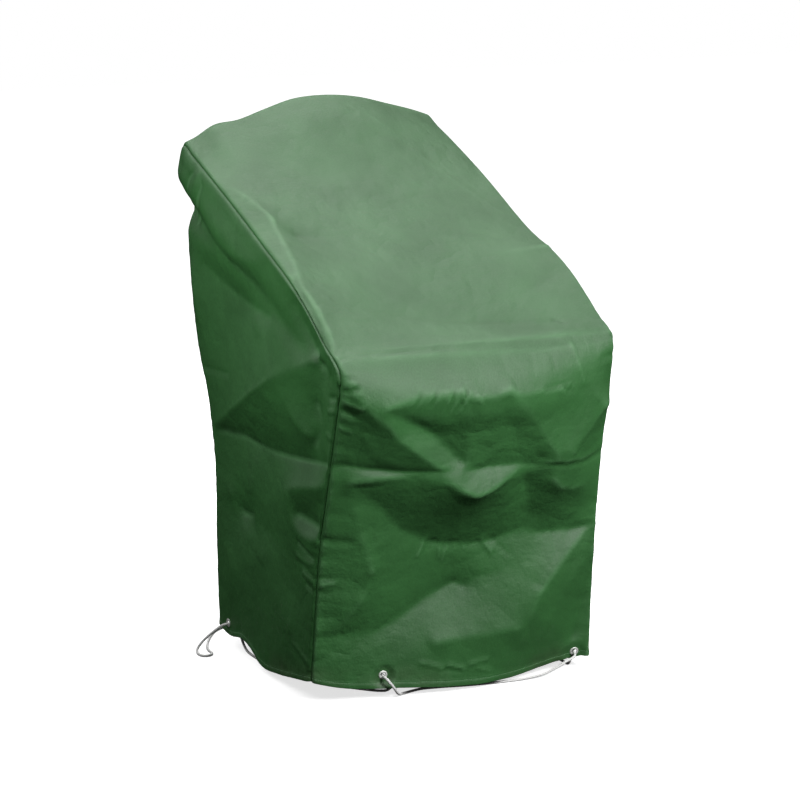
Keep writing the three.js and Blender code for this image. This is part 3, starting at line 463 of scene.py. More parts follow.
class Relief:
    """Heights of cloth drawn tight between its fold lines, on a square grid that gets finer."""

    STEPS = (20, 10, 5)  # of the grids
    ROUNDS = (400, 150, 120)  # of relaxing on each grid
    PULL = 1.85  # above 1, each pull goes past the neighbours' mean, which settles sooner
    SOFTENED = 3  # rounds that blunt the fold lines

    def __init__(self, lines, low, high):
        self.low = np.array(low, float)
        self.step = self.STEPS[-1]
        height = None
        for step, rounds in zip(self.STEPS, self.ROUNDS):
            pins, held = self.pinned(lines, low, high, step)
            if height is None:
                height = np.zeros_like(pins)
            else:
                i = np.linspace(0, height.shape[0] - 1, pins.shape[0])
                j = np.linspace(0, height.shape[1] - 1, pins.shape[1])
                height = self.between(height, *np.meshgrid(i, j, indexing="ij"))
            height = self.relax(np.where(held, pins, height), held, rounds)
        for _ in range(self.SOFTENED):
            height = (height + self.around(height)) / 2
        self.height = height

    @staticmethod
    def pinned(lines, low, high, step):
        """Heights along the lines, and which places of the grid they hold."""
        count = [int(round((high[k] - low[k]) / step)) + 1 for k in (0, 1)]
        total, hits = np.zeros(count), np.zeros(count)
        for line in lines.values():
            for (pa, qa, ha), (pb, qb, hb) in zip(line[:-1], line[1:]):
                parts = max(1, math.ceil(2 * math.hypot(pb - pa, qb - qa) / step))
                t = np.linspace(0, 1, parts + 1)
                i = np.rint((pa + (pb - pa) * t - low[0]) / step).astype(int)
                j = np.rint((qa + (qb - qa) * t - low[1]) / step).astype(int)
                inside = (i >= 0) & (i < count[0]) & (j >= 0) & (j < count[1])
                np.add.at(total, (i[inside], j[inside]), (ha + (hb - ha) * t)[inside])
                np.add.at(hits, (i[inside], j[inside]), 1)
        return total / np.maximum(hits, 1), hits > 0

    @staticmethod
    def around(height):
        """Mean of each place's four neighbours."""
        wide = np.pad(height, 1, mode="edge")
        return (wide[:-2, 1:-1] + wide[2:, 1:-1] + wide[1:-1, :-2] + wide[1:-1, 2:]) / 4

    def relax(self, height, held, rounds):
        """Pulls every free place towards its neighbours, the two colours of a chessboard in turn."""
        even = np.add.outer(np.arange(height.shape[0]), np.arange(height.shape[1])) % 2 == 0
        for _ in range(rounds):
            for colour in (even, ~even):
                pulled_height = height + self.PULL * (self.around(height) - height)
                height = np.where(colour & ~held, pulled_height, height)
        return height

    @staticmethod
    def between(height, i, j):
        """Heights between the grid's places."""
        i = np.clip(i, 0, height.shape[0] - 1.001)
        j = np.clip(j, 0, height.shape[1] - 1.001)
        a, b = i.astype(int), j.astype(int)
        p, q = i - a, j - b
        low = height[a, b] * (1 - p) + height[a + 1, b] * p
        high = height[a, b + 1] * (1 - p) + height[a + 1, b + 1] * p
        return low * (1 - q) + high * q

    def at(self, p, q):
        """Height at places given in millimetres."""
        return self.between(self.height, (p - self.low[0]) / self.step, (q - self.low[1]) / self.step)


def wrinkles(rows, p, q):
    """Sum of small straight wrinkles that fade out at both ends."""
    total = np.zeros_like(p)
    for pa, qa, pb, qb, height, half_width in rows:
        length = math.hypot(pb - pa, qb - qa)
        along = ((p - pa) * (pb - pa) + (q - qa) * (qb - qa)) / length**2
        aside = np.abs((p - pa) * (qb - qa) - (q - qa) * (pb - pa)) / length
        over = np.maximum(np.abs(along - 0.5) - 0.5, 0) * length
        near = np.clip(1 - np.hypot(aside, over) / half_width, 0, 1)
        total += height * near * near * (3 - 2 * near)
    return total


def creases(lines, p, q):
    """Height of sharp creases: each is highest on its line and dies out beside it."""
    nearest, total = np.zeros_like(p), np.zeros_like(p)
    for line in lines.values():
        for (pa, qa, ha), (pb, qb, hb) in zip(line[:-1], line[1:]):
            run = np.array((pb - pa, qb - qa), float)
            along = np.clip(((p - pa) * run[0] + (q - qa) * run[1]) / (run @ run), 0, 1)
            away = np.hypot(p - pa - along * run[0], q - qa - along * run[1])
            near = np.clip(1 - away / CREASE_WIDTH, 0, 1) ** 2
            total = np.where(near > nearest, near * (ha + (hb - ha) * along), total)
            nearest = np.maximum(near, nearest)
    return total


def pulled(points):
    """The cloth with the pulls at its back seam."""
    for middle, way, reach in PULLS:
        away = np.linalg.norm(points - np.array(middle, float), axis=-1)
        points = points + np.array(way, float) * np.exp(-((away / reach) ** 2))[..., None]
    return points


def uneven(seed, spacing, at):
    """Smooth seeded unevenness along a line, between -1 and 1."""
    knots = np.random.default_rng(seed).uniform(-1, 1, UNEVEN_KNOTS)
    place = np.abs(at) / spacing
    i = place.astype(int) % (UNEVEN_KNOTS - 1)
    step = smoothstep(0, 1, place - place.astype(int))
    return knots[i] * (1 - step) + knots[i + 1] * step


def seam_puckers(seed, along, distance):
    """Gathers that a seam's thread draws into the cloth beside it."""
    total = 0
    for k, (spacing, reach, share) in enumerate(GATHERS):
        near = distance / reach
        total = total + share * (uneven(seed + k, spacing, along) * near * np.exp(1 - near))
    return table_curve(PUCKERS, along) * total


def seam_roll(distance, deepened=1.0):
    """How far the cloth lies inside its flat form beside a seam."""
    near = np.clip(1 - distance / ROLL, 0, 1)
    return ROLL_DEPTH * deepened * near * near


def hem_relief(seed, along, above, width):
    """Doubled cloth, its stitched groove and small gathers, by the height above the hem's edge."""
    doubled = HEM_DOUBLED * (1 - smoothstep(width - 1, width + 2.5, above))
    groove = HEM_GROOVE * np.exp(-(((above - width + 1.5) / 1.3) ** 2))
    gathers = HEM_GATHERS * uneven(seed, 8, along) * np.exp(-(((above - width) / 14) ** 2))
    return doubled + groove + gathers


def smooth_piece(name, points, faces):
    """A smooth mesh object from points in millimetres over the ground."""
    mesh = bpy.data.meshes.new(name)
    mesh.from_pydata(((points.reshape(-1, 3) - CARRIED_AT) * MM).tolist(), [], faces)
    mesh.polygons.foreach_set("use_smooth", np.ones(len(faces), bool))
    piece = bpy.data.objects.new(name, mesh)
    bpy.context.scene.collection.objects.link(piece)
    return piece


def mark_points(piece, name, values):
    """Stores a number or a place on each point of a piece, for its material."""
    is_place = values.shape[-1] == 3
    kind, field = ("FLOAT_VECTOR", "vector") if is_place else ("FLOAT", "value")
    piece.data.attributes.new(name, kind, "POINT").data.foreach_set(field, values.ravel())


def grid_cells(keep):
    """Faces of a grid's kept cells, as four places (i, j) each, and its open edges in the same turn."""
    i, j = np.nonzero(keep)
    corners = np.stack([np.stack([i + a, j + b], -1) for a, b in ((0, 0), (1, 0), (1, 1), (0, 1))], 1)
    wide = np.pad(keep, 1)
    edges = []
    for a, b, first, second in ((0, -1, 0, 1), (1, 0, 1, 2), (0, 1, 2, 3), (-1, 0, 3, 0)):
        is_open = ~wide[i + 1 + a, j + 1 + b]
        edges.append(corners[is_open][:, [first, second]])
    return corners, np.concatenate(edges)


def closed_sheet(name, outer, inner, keep, flip, marks):
    """Closed sheet from grids of outer and inner points, with its named marks."""
    rows = outer.shape[1]
    count = outer.shape[0] * rows
    corners, rim = grid_cells(keep)
    face = corners[..., 0] * rows + corners[..., 1]
    edge = rim[..., 0] * rows + rim[..., 1]
    walls = np.stack([edge[:, 1], edge[:, 0], edge[:, 0] + count, edge[:, 1] + count], -1)
    faces = np.concatenate([face, face[:, ::-1] + count, walls])
    if flip:
        faces = faces[:, ::-1]
    points = np.concatenate([outer.reshape(-1, 3), inner.reshape(-1, 3)])
    used = np.unique(faces)
    renumbered = np.zeros(len(points), int)
    renumbered[used] = np.arange(len(used))
    piece = smooth_piece(name, points[used], renumbered[faces].tolist())
    for mark, values in marks.items():
        mark_points(piece, mark, np.concatenate([values.reshape(count, -1)] * 2)[used])
    return piece


def grid_normals(points):
    """Normals of a grid of points, from its neighbours."""
    across, along = np.gradient(points, axis=0), np.gradient(points, axis=1)
    return unit(np.cross(across, along))


def fold_mark(points):
    """How far each point stands out from the mean of the points two cells away, in millimetres."""
    wide = np.pad(points, ((2, 2), (2, 2), (0, 0)), mode="edge")
    mean = (wide[:-4, 2:-2] + wide[4:, 2:-2] + wide[2:-2, :-4] + wide[2:-2, 4:]) / 4
    return np.einsum("ijk,ijk->ij", points - mean, grid_normals(points))


def strip_base(x, v):
    """The strip before its folds, at x across and v up the cut."""
    cut = curve(CUT_PLACES, CUTS, v)
    across = ((x + HALF_WIDTH) / (2 * HALF_WIDTH))[..., None]
    bow = (1 - np.abs(x / HALF_WIDTH) ** CROWN)[..., None]
    left, middle, right = cut[..., 0:2], cut[..., 2:4], cut[..., 4:6]
    yz = left * (1 - across) + right * across + (middle - (left + right) / 2) * bow
    front = (table_curve(HEM_FRONT, x) - HEM_HEIGHT) * np.clip(1 - v / HEM_FADE, 0, 1) ** 2
    back = (table_curve(HEM_BACK, x) - HEM_HEIGHT) * np.clip(1 - (CUT_END - v) / HEM_FADE, 0, 1) ** 2
    spread = np.where(v < CREST, ARCH_BEFORE, ARCH_BEHIND)
    arch = table_curve(ARCH, x) * np.exp(-(((v - CREST) / spread) ** 2))
    return np.stack([x + 0 * v, yz[..., 0], yz[..., 1] + front + back + arch], -1)


def strip_facing(x, v, reach=2.0):
    """Way that the strip looks, in the plane of the cut."""
    low = strip_base(x, np.maximum(v - reach, 0))
    high = strip_base(x, np.minimum(v + reach, CUT_END))
    turn = high - low
    return unit(np.stack([0 * x, -turn[..., 2], turn[..., 1]], -1))


def eyelets_of(cloth):
    """Middle and facing of each eyelet in that piece of cloth."""
    return [(np.array(at, float), unit(np.array(facing, float)))
            for owner, at, facing in EYELETS.values() if owner == cloth]


def flatten(points, cloth, near=15.0, far=30.0):
    """Draws the cloth flat under its eyelets."""
    for centre, way in eyelets_of(cloth):
        off = (points - centre) @ way
        share = 1 - smoothstep(near, far, np.linalg.norm(points - centre, axis=-1))
        points = points - way * (off * share)[..., None]
    return points


def eyelet_gaps(points, cloth, bore_ring=7.0, reach=20.0):
    """Opens the cloth at its eyelets: the nearest cell is drawn round the middle, then left out."""
    keep = np.ones((points.shape[0] - 1, points.shape[1] - 1), bool)
    for centre, way in eyelets_of(cloth):
        middles = (points[:-1, :-1] + points[1:, :-1] + points[1:, 1:] + points[:-1, 1:]) / 4
        distance = np.linalg.norm(middles - centre, axis=-1)
        cell = np.unravel_index(np.argmin(distance), distance.shape)
        shift = centre - middles[cell]
        shift -= way * (shift @ way)
        away = np.linalg.norm(points - centre, axis=-1)
        points = points + shift * (1 - smoothstep(reach / 2, 2 * reach, away))[..., None]
        offset = points - centre
        away = np.linalg.norm(offset, axis=-1)
        pushed = bore_ring + (reach - bore_ring) * away / reach
        share = np.where(away < reach, pushed / np.maximum(away, 1e-6), 1)
        points = centre + offset * share[..., None]
        keep[cell] = False
    return points, keep


def spread_lines(start, *stretches):
    """Places of a grid's lines from a start: each stretch is its end and the step up to it."""
    lines = [np.array([start], float)]
    for end, step in stretches:
        lines.append(np.linspace(start, end, max(1, round((end - start) / step)) + 1)[1:])
        start = end
    return np.concatenate(lines)


def strip_columns(step):
    """Places of the strip's columns."""
    inner = HALF_WIDTH - SEAM_LINES[-1]
    near = SEAM_LINES[:-1]
    return np.concatenate([near - HALF_WIDTH, spread_lines(-inner, (inner, step)), HALF_WIDTH - near[::-1]])


def strip_rows():
    """Lengths up the cut of the strip's rows, closer where it is folded."""
    near = HEM_LINES[:-1]
    middle = spread_lines(
        HEM_LINES[-1], (SLOPE_FROM, FRONT_STEP), (CREST_FROM, SLOPE_STEP), (CREST_TO, CREST_STEP),
        (CUT_END - HEM_LINES[-1], BACK_STEP),
    )
    return np.concatenate([near, middle, CUT_END - near[::-1]])


def strip_relief():
    """Folds of the strip, with its seams held."""
    edges = {"left_seam": -HALF_WIDTH, "right_seam": HALF_WIDTH}
    seams = {name: [(x, 0, 0), (x, CUT_END, 0)] for name, x in edges.items()}
    return Relief({**STRIP_FOLDS, **seams}, (-HALF_WIDTH, 0), (HALF_WIDTH, CUT_END))


def strip_points(x, v, hem_width):
    """The strip's outer face."""
    edge = HALF_WIDTH - np.abs(x)
    deepened = 1 + DEEPER * smoothstep(*DEEP_FROM, v) * (1 - smoothstep(*DEEP_TO, v))
    roll = seam_roll(edge, np.where(x < 0, deepened, 1))
    left, right = (seam_puckers(seed, v, edge) for seed in (LEFT_SEAM_SEED, RIGHT_SEAM_SEED))
    fold = strip_relief().at(x, v) + creases(STRIP_CREASES, x, v) + wrinkles(STRIP_WRINKLES, x, v)
    fold = fold + np.where(x < 0, left, right)
    hem = hem_relief(STRIP_HEM_SEED, x - STRIP_HEM_START, np.minimum(v, CUT_END - v), hem_width)
    points = strip_base(x, v) + strip_facing(x, v) * (fold - roll + hem)[..., None]
    points[..., 0] -= np.sign(x) * roll
    return pulled(flatten(points, "centre_strip"))


def hem_rows(points, normals, rows):
    """The lines that the hem's thread follows, each with the way that the cloth looks there."""
    return [(points[:, row], normals[:, row]) for row in rows]


def build_strip(settings):
    """Centre strip: up the front, over the slope and the arched top and down the back."""
    v_lines = strip_rows()
    x, v = np.meshgrid(strip_columns(settings.strip_step / MM), v_lines, indexing="ij")
    points, keep = eyelet_gaps(strip_points(x, v, settings.hem_width / MM), "centre_strip")
    normals = grid_normals(points)
    facing = strip_facing(x, v)
    for column, side in ((0, -1.0), (-1, 1.0)):
        normals[column] = unit(facing[column] + np.array((side, 0.0, 0.0)))
    inner = points - normals * (settings.thickness / MM)
    # The seam allowance is turned in at both edges
    allowance = settings.seam_allowance / MM
    left, right = (points[column] - normals[column] * allowance for column in (0, -1))
    shift = np.array((settings.thickness / MM, 0.0, 0.0))
    inner[0], inner[-1] = points[0] + shift, points[-1] - shift
    outer = np.concatenate([[left], points, [right]])
    inner = np.concatenate([[left + shift], inner, [right - shift]])
    keep = np.pad(keep, ((1, 1), (0, 0)), constant_values=True)
    marks = {
        "cut": np.stack([x * MM, v * MM, 0 * x], -1),
        "fold": fold_mark(points),
        "hem": np.minimum(v, CUT_END - v) * MM,
    }
    marks = {name: np.concatenate([values[:1], values, values[-1:]]) for name, values in marks.items()}
    piece = closed_sheet("cover_strip", outer, inner, keep, False, marks)
    return piece, points, v_lines, hem_rows(points, normals, (STITCH_LINE, -1 - STITCH_LINE))


def panel_columns(step):
    """Places of a side panel's columns, as shares of the way from its front seam to its back seam."""
    seam = SEAM_LINES / PANEL_DEPTH
    middle = spread_lines(seam[-1], (1 - seam[-1], step / PANEL_DEPTH))
    return np.concatenate([seam[:-1], middle, 1 - seam[:-1][::-1]])


def panel_rows():
    """Lengths up the cut of a side panel's rows, at its front seam and at its back seam."""
    hem, near = HEM_LINES[-1], SEAM_LINES[::-1]
    middle = spread_lines(hem, (NOSE - near[0], FRONT_STEP))
    front = np.concatenate([HEM_LINES[:-1], middle, NOSE - near[1:]])
    over_hem = (front[len(HEM_LINES) - 1:] - hem) * (CUT_END - CREST - hem) / (NOSE - hem)
    return front, CUT_END - np.concatenate([HEM_LINES[:-1], hem + over_hem])


def panel_hem(hem, start, end, s):
    """Edge of a side panel's hem from its front seam to its back seam, by its table of heights."""
    y = start[1] + s * (end[1] - start[1])
    lift = (1 - s) * (start[2] - table_curve(hem, start[1])) + s * (end[2] - table_curve(hem, end[1]))
    return np.stack([start[0] + s * (end[0] - start[0]), y, table_curve(hem, y) + lift], -1)


def patch(front, back, bottom, top, s, t):
    """Points between four edges, with s from the front to the back and t from the bottom to the top."""
    s, t = s[:, None, None], t[None, :, None]
    return (
        bottom[:, None] * (1 - t) + top[:, None] * t + front[None] * (1 - s) + back[None] * s
        - (front[0] * (1 - s) * (1 - t) + back[0] * s * (1 - t) + top[0] * (1 - s) * t + top[-1] * s * t)
    )


def seam_distances(points, s, t):
    """Distance of a side panel's points from its front, back and slope seams."""
    width = np.linalg.norm(points[-1] - points[0], axis=-1)[None]
    height = np.linalg.norm(points[:, -1] - points[:, 0], axis=-1)[:, None]
    return s[:, None] * width, (1 - s[:, None]) * width, (1 - t[None]) * height


def seam_gathers(panel, places, distances):
    """Gathers of a side panel along its three seams, by the place up each and the distance from it."""
    return sum(
        seam_puckers(panel.seed + 2 * k, place, distance)
        for k, (place, distance) in enumerate(zip(places, distances))
    )


def panel_folds(panel, y, z, inside):
    """How far a side panel's folds stand out, with its front, slope and back edge held."""
    column = 0 if panel.side < 0 else 4
    edge = [(*cut[column:column + 2], 0) for cut in CUTS]
    relief = Relief({**panel.folds, "edge": edge}, *PANEL_GRID)
    height = relief.at(y, z) + creases(panel.creases, y, z) + wrinkles(panel.wrinkles, y, z)
    return smoothstep(0, PANEL_EDGE, inside) * height


def panel_hem_relief(panel, y, above, inside, width):
    """Relief of a side panel's hem, which dies out at its seams."""
    relief = hem_relief(panel.seed + 6, y - PANEL_HEM_START, above, width)
    return relief * smoothstep(0, PANEL_HEM_END, inside)


def build_side(name, strip_edge, v_lines, settings):
    """A side panel: a patch between its three seams and its hem, with its folds."""
    panel = PANELS[name]
    s = panel_columns(settings.side_step / MM)
    front_rows, back_rows = panel_rows()
    slope_rows = NOSE + s * (CREST - NOSE)
    t = (front_rows / NOSE + (CUT_END - back_rows) / (CUT_END - CREST)) / 2
    front, back, slope = (along_line(at, v_lines, strip_edge) for at in (front_rows, back_rows, slope_rows))
    points = patch(front, back, panel_hem(panel.hem, front[0], back[0], s), slope, s, t)
    distances = seam_distances(points, s, t)
    inside = np.minimum(np.minimum(distances[0], distances[1]), distances[2])
    above = front_rows[None] + 0 * s[:, None]
    y, z = points[..., 1].copy(), points[..., 2].copy()
    points[..., 0] += panel.side * (
        ROLL_DEPTH - seam_roll(inside) + panel_folds(panel, y, z, inside)
        + seam_gathers(panel, (front_rows[None], back_rows[None], slope_rows[:, None]), distances)
        + panel_hem_relief(panel, y, above, inside, settings.hem_width / MM)
    )
    points = np.where((inside > 0)[..., None], pulled(flatten(points, panel.cloth)), points)
    points, keep = eyelet_gaps(points, panel.cloth)
    normals = grid_normals(points) * panel.side
    outward = np.array((panel.side, 0.0, 0.0))
    for edge, at in ((np.s_[0], front_rows), (np.s_[-1], back_rows), (np.s_[:, -1], slope_rows)):
        normals[edge] = unit(outward + strip_facing(np.full_like(at, panel.side * HALF_WIDTH), at))
    inner = points - normals * (settings.thickness / MM)
    marks = {"cut": np.stack([y * MM, z * MM, 0 * y], -1), "fold": fold_mark(points), "hem": above * MM}
    piece = closed_sheet(name, points, inner, keep, panel.side < 0, marks)
    return piece, hem_rows(points, normals, (STITCH_LINE,))


def tube_faces(rings):
    """Faces of a tube from the numbers of its points, one ring a row, closed at both ends."""
    low, high = rings[:-1], rings[1:]
    walls = np.stack([low, np.roll(low, -1, 1), np.roll(high, -1, 1), high], -1).reshape(-1, 4)
    return [*walls.tolist(), rings[0][::-1].tolist(), rings[-1].tolist()]


def stitch_row(line, facing, settings):
    """Points and faces of a row of stitches along a line on the cloth, each a bar with pointed ends."""
    runs = lengths(line)
    pitch, radius = settings.stitch / MM, settings.thread / MM / 2
    angles = np.linspace(0, 2 * math.pi, STITCH_SIDES, endpoint=False)
    numbers = np.arange(len(STITCH_RINGS) * STITCH_SIDES).reshape(-1, STITCH_SIDES)
    points, faces = [], []
    for start in np.arange(pitch, runs[-1] - 2 * pitch, pitch):
        at = np.array([start + share * pitch for share, _ in STITCH_RINGS])
        middle = along_line(at, runs, line)
        out = unit(along_line(at, runs, facing))
        side = unit(np.cross(middle[-1] - middle[0], out))
        first = len(points) * STITCH_SIDES
        points += [
            middle[k] + out[k] * radius * (1.5 * share - 0.7)
            + radius * share * (np.outer(np.cos(angles), side[k]) + np.outer(np.sin(angles), out[k]))
            for k, (_, share) in enumerate(STITCH_RINGS)
        ]
        faces += tube_faces(first + numbers)
    return np.concatenate(points), faces


def build_stitches(rows, settings):
    """The hem's thread: all its stitches in one mesh."""
    points, faces, count = [], [], 0
    for line, facing in rows:
        row_points, row_faces = stitch_row(line, facing, settings)
        points.append(row_points)
        faces.extend(tuple(k + count for k in face) for face in row_faces)
        count += len(row_points)
    return smooth_piece("hem_stitches", np.concatenate(points), faces)


def between(t, start, end, first, second):
    """Point on the way from the first to the second while t goes from start to end."""
    return first * (end - t) / (end - start) + second * (t - start) / (end - start)


def smooth_route(points, step, parts=40):
    """Points at even steps along the smooth curve through a route, and their lengths along it."""
    points = np.array(points, float)
    ends = np.concatenate([[2 * points[0] - points[1]], points, [2 * points[-1] - points[-2]]])
    knots = lengths(ends, 0.5)
    dense = []
    for i in range(1, len(ends) - 2):
        t0, t1, t2, t3 = knots[i - 1:i + 3]
        t = np.linspace(t1, t2, parts, endpoint=i == len(ends) - 3)[:, None]
        before = between(t, t0, t1, ends[i - 1], ends[i])
        here = between(t, t1, t2, ends[i], ends[i + 1])
        after = between(t, t2, t3, ends[i + 1], ends[i + 2])
        dense.append(between(t, t1, t2, between(t, t0, t2, before, here), between(t, t1, t3, here, after)))
    dense = np.concatenate(dense)
    length = lengths(dense)
    at = np.linspace(0, length[-1], int(length[-1] / step) + 1)
    return along_line(at, length, dense), at


def tube_frames(path):
    """Two directions across the path at each point, turned as little as possible."""
    along = unit(np.gradient(path, axis=0))
    side = unit(np.cross(along[0], (0, 0, 1.0)))
    sides = []
    for way in along:
        side = unit(side - way * (side @ way))
        sides.append(side)
    sides = np.array(sides)
    return sides, np.cross(along, sides)


def braid_relief(at, angle, settings):
    """How high the strands of the braid stand, from -1 to 1, where two sets of them cross."""
    turn = 2 * math.pi * at[:, None] / (settings.lay / MM)
    strands = settings.strands / 2
    one = np.cos(strands * (angle[None] + turn / strands))
    other = np.cos(strands * (angle[None] - turn / strands) + math.pi)
    return np.maximum(one, other)


def braided_tube(name, route, settings, raised=0.07):
    """A cord with the raised strands of its braid, and the middle line that it follows."""
    radius = settings.diameter / MM / 2
    path, at = smooth_route(route, settings.ring_step / MM)
    sides, ups = tube_frames(path)
    angle = 2 * math.pi * np.arange(settings.sides) / settings.sides
    relief = braid_relief(at, angle, settings)
    ring = sides[:, None] * np.cos(angle)[None, :, None] + ups[:, None] * np.sin(angle)[None, :, None]
    points = path[:, None] + ring * (radius * (1 - raised + raised * relief))[..., None]
    piece = smooth_piece(name, points, tube_faces(np.arange(relief.size).reshape(relief.shape)))
    mark_points(piece, "groove", np.clip(0.5 - relief, 0, 1)[..., None])
    place = np.stack([at[:, None] + 0 * relief, radius * angle + 0 * relief, 0 * relief], -1)
    mark_points(piece, "cut", place * MM)
    return piece, (path - CARRIED_AT) * MM


def eyelet_profile(settings, cloth):
    """Pressed ring: a domed flange outside, a barrel and a flat washer inside."""
    bore, rim, dome = (value / MM for value in (settings.bore, settings.rim, settings.dome))
    crown, half = (bore + rim) / 2, (rim - bore) / 2
    lift, play, wall = 0.1, 0.05, 0.9  # gap under the flange, gap beside the cloth, wall of the barrel
    flange = [
        (crown - half * math.cos(a), dome * math.sin(a) + lift) for a in np.linspace(0, math.pi, 13)
    ]
    return flange + [
        (rim - 0.4, -play), (bore + wall, -play), (bore + wall, -cloth - play), (rim - 0.2, -cloth - play),
        (rim - 0.2, -cloth - 0.7), (bore + 0.6, -cloth - 0.9), (bore, -cloth - 0.5),
    ]


def turned_ring(name, profile, centre, facing, sides, askew=(0.31, 0.2, 0.93)):
    """A closed ring turned round the eyelet's axis from its profile of radius and height."""
    way = unit(np.array(facing, float))
    side = unit(np.cross(way, askew))
    angle = 2 * math.pi * np.arange(sides) / sides
    ring = side * np.cos(angle)[:, None] + np.cross(way, side) * np.sin(angle)[:, None]
    radius, height = np.array(profile, float).T
    points = np.array(centre, float) + ring[:, None] * radius[None, :, None] + way * height[None, :, None]
    a = np.arange(sides * len(radius)).reshape(sides, len(radius))
    b = np.roll(a, -1, 0)
    faces = np.stack([a, b, np.roll(b, -1, 1), np.roll(a, -1, 1)], -1).reshape(-1, 4)
    return smooth_piece(name, points, faces.tolist())


class Signal:
    """A number that a node gives. Sums, differences and products of signals add Math nodes."""

    def __init__(self, nodes, socket):
        self.nodes = nodes
        self.socket = socket

    def made(self, operation, *operands):
        """The output of a new Math node."""
        node = self.nodes.node("ShaderNodeMath", {"operation": operation}, dict(enumerate(operands)))
        return Signal(self.nodes, node.outputs[0])

    def __add__(self, other):
        return self.made("ADD", self, other)

    def __radd__(self, other):
        return self.made("ADD", other, self)

    def __sub__(self, other):
        return self.made("SUBTRACT", self, other)

    def __rsub__(self, other):
        return self.made("SUBTRACT", other, self)

    def __mul__(self, other):
        return self.made("MULTIPLY", self, other)

    def __rmul__(self, other):
        return self.made("MULTIPLY", other, self)

    def __abs__(self):
        return self.made("ABSOLUTE", self)

    def sine(self):
        """Its sine."""
        return self.made("SINE", self)

    def limited(self):
        """Between 0 and 1."""
        return self.made("MINIMUM", self.made("MAXIMUM", self, 0.0), 1.0)

    def above(self, low, high):
        """0 below low, 1 above high and a soft step between."""
        settings = {"interpolation_type": "SMOOTHSTEP"}
        inputs = {"Value": self, "From Min": low, "From Max": high}
        return Signal(self.nodes, self.nodes.node("ShaderNodeMapRange", settings, inputs).outputs[0])


class Nodes:
    """Adds nodes to a node tree."""

    MIX_SHARE, MIX_FIRST, MIX_SECOND, MIXED = 0, 6, 7, 2  # a Mix node's sockets for colours

    def __init__(self, tree):
        self.tree = tree

    def node(self, kind, settings=None, inputs=None):
        """A node of that kind, with its settings and then the values or links of its sockets."""
        node = self.tree.nodes.new(kind)
        for name, value in (settings or {}).items():
            setattr(node, name, value)
        for name, value in (inputs or {}).items():
            self.put(node.inputs[name], value)
        return node

    def put(self, socket, value):
        """Sets a socket's value, or links it."""
        if isinstance(value, Signal):
            value = value.socket
        if isinstance(value, bpy.types.NodeSocket):
            self.tree.links.new(value, socket)
        else:
            socket.default_value = value

    def mark(self, name):
        """A number stored on the mesh's points."""
        return Signal(self, self.node("ShaderNodeAttribute", {"attribute_name": name}).outputs["Fac"])

    def place(self, name):
        """A place stored on the mesh's points."""
        return self.node("ShaderNodeAttribute", {"attribute_name": name}).outputs["Vector"]

    def space(self, name):
        """A place or direction of the mesh's own, by the name of its socket."""
        return self.node("ShaderNodeTexCoord").outputs[name]

    def noise(self, place, scale, detail=3.0, rough=0.5):
        """Noise about 0.5, with its scale in patches for each metre."""
        inputs = {"Vector": place, "Scale": scale, "Detail": detail, "Roughness": rough}
        return Signal(self, self.node("ShaderNodeTexNoise", {}, inputs).outputs[0])

    def parts(self, place):
        """The three numbers of a place."""
        node = self.node("ShaderNodeSeparateXYZ", {}, {0: place})
        return [Signal(self, socket) for socket in node.outputs]

    def blend(self, share, first, second):
        """Colour between two colours."""
        inputs = {self.MIX_SHARE: share, self.MIX_FIRST: first, self.MIX_SECOND: second}
        node = self.node("ShaderNodeMix", {"data_type": "RGBA", "clamp_factor": True}, inputs)
        return node.outputs[self.MIXED]

    def bump(self, height, distance):
        """Normal from a height in units of distance."""
        return self.node("ShaderNodeBump", {}, {"Height": height, "Distance": distance}).outputs[0]


class Finish(Nodes):
    """A material and its nodes."""

    def __init__(self, name):
        self.material = bpy.data.materials.new(name)
        self.material.use_nodes = True
        super().__init__(self.material.node_tree)
        self.shader = self.tree.nodes["Principled BSDF"]

    def set(self, **values):
        """Values or links of the shader's own sockets, with _ for a space."""
        for name, value in values.items():
            self.put(self.shader.inputs[name.replace("_", " ")], value)
        return self


def rgba(colour, gain=1.0):
    """A colour with its alpha, lightened by gain."""
    return (*(min(1.0, part * gain) for part in colour), 1.0)


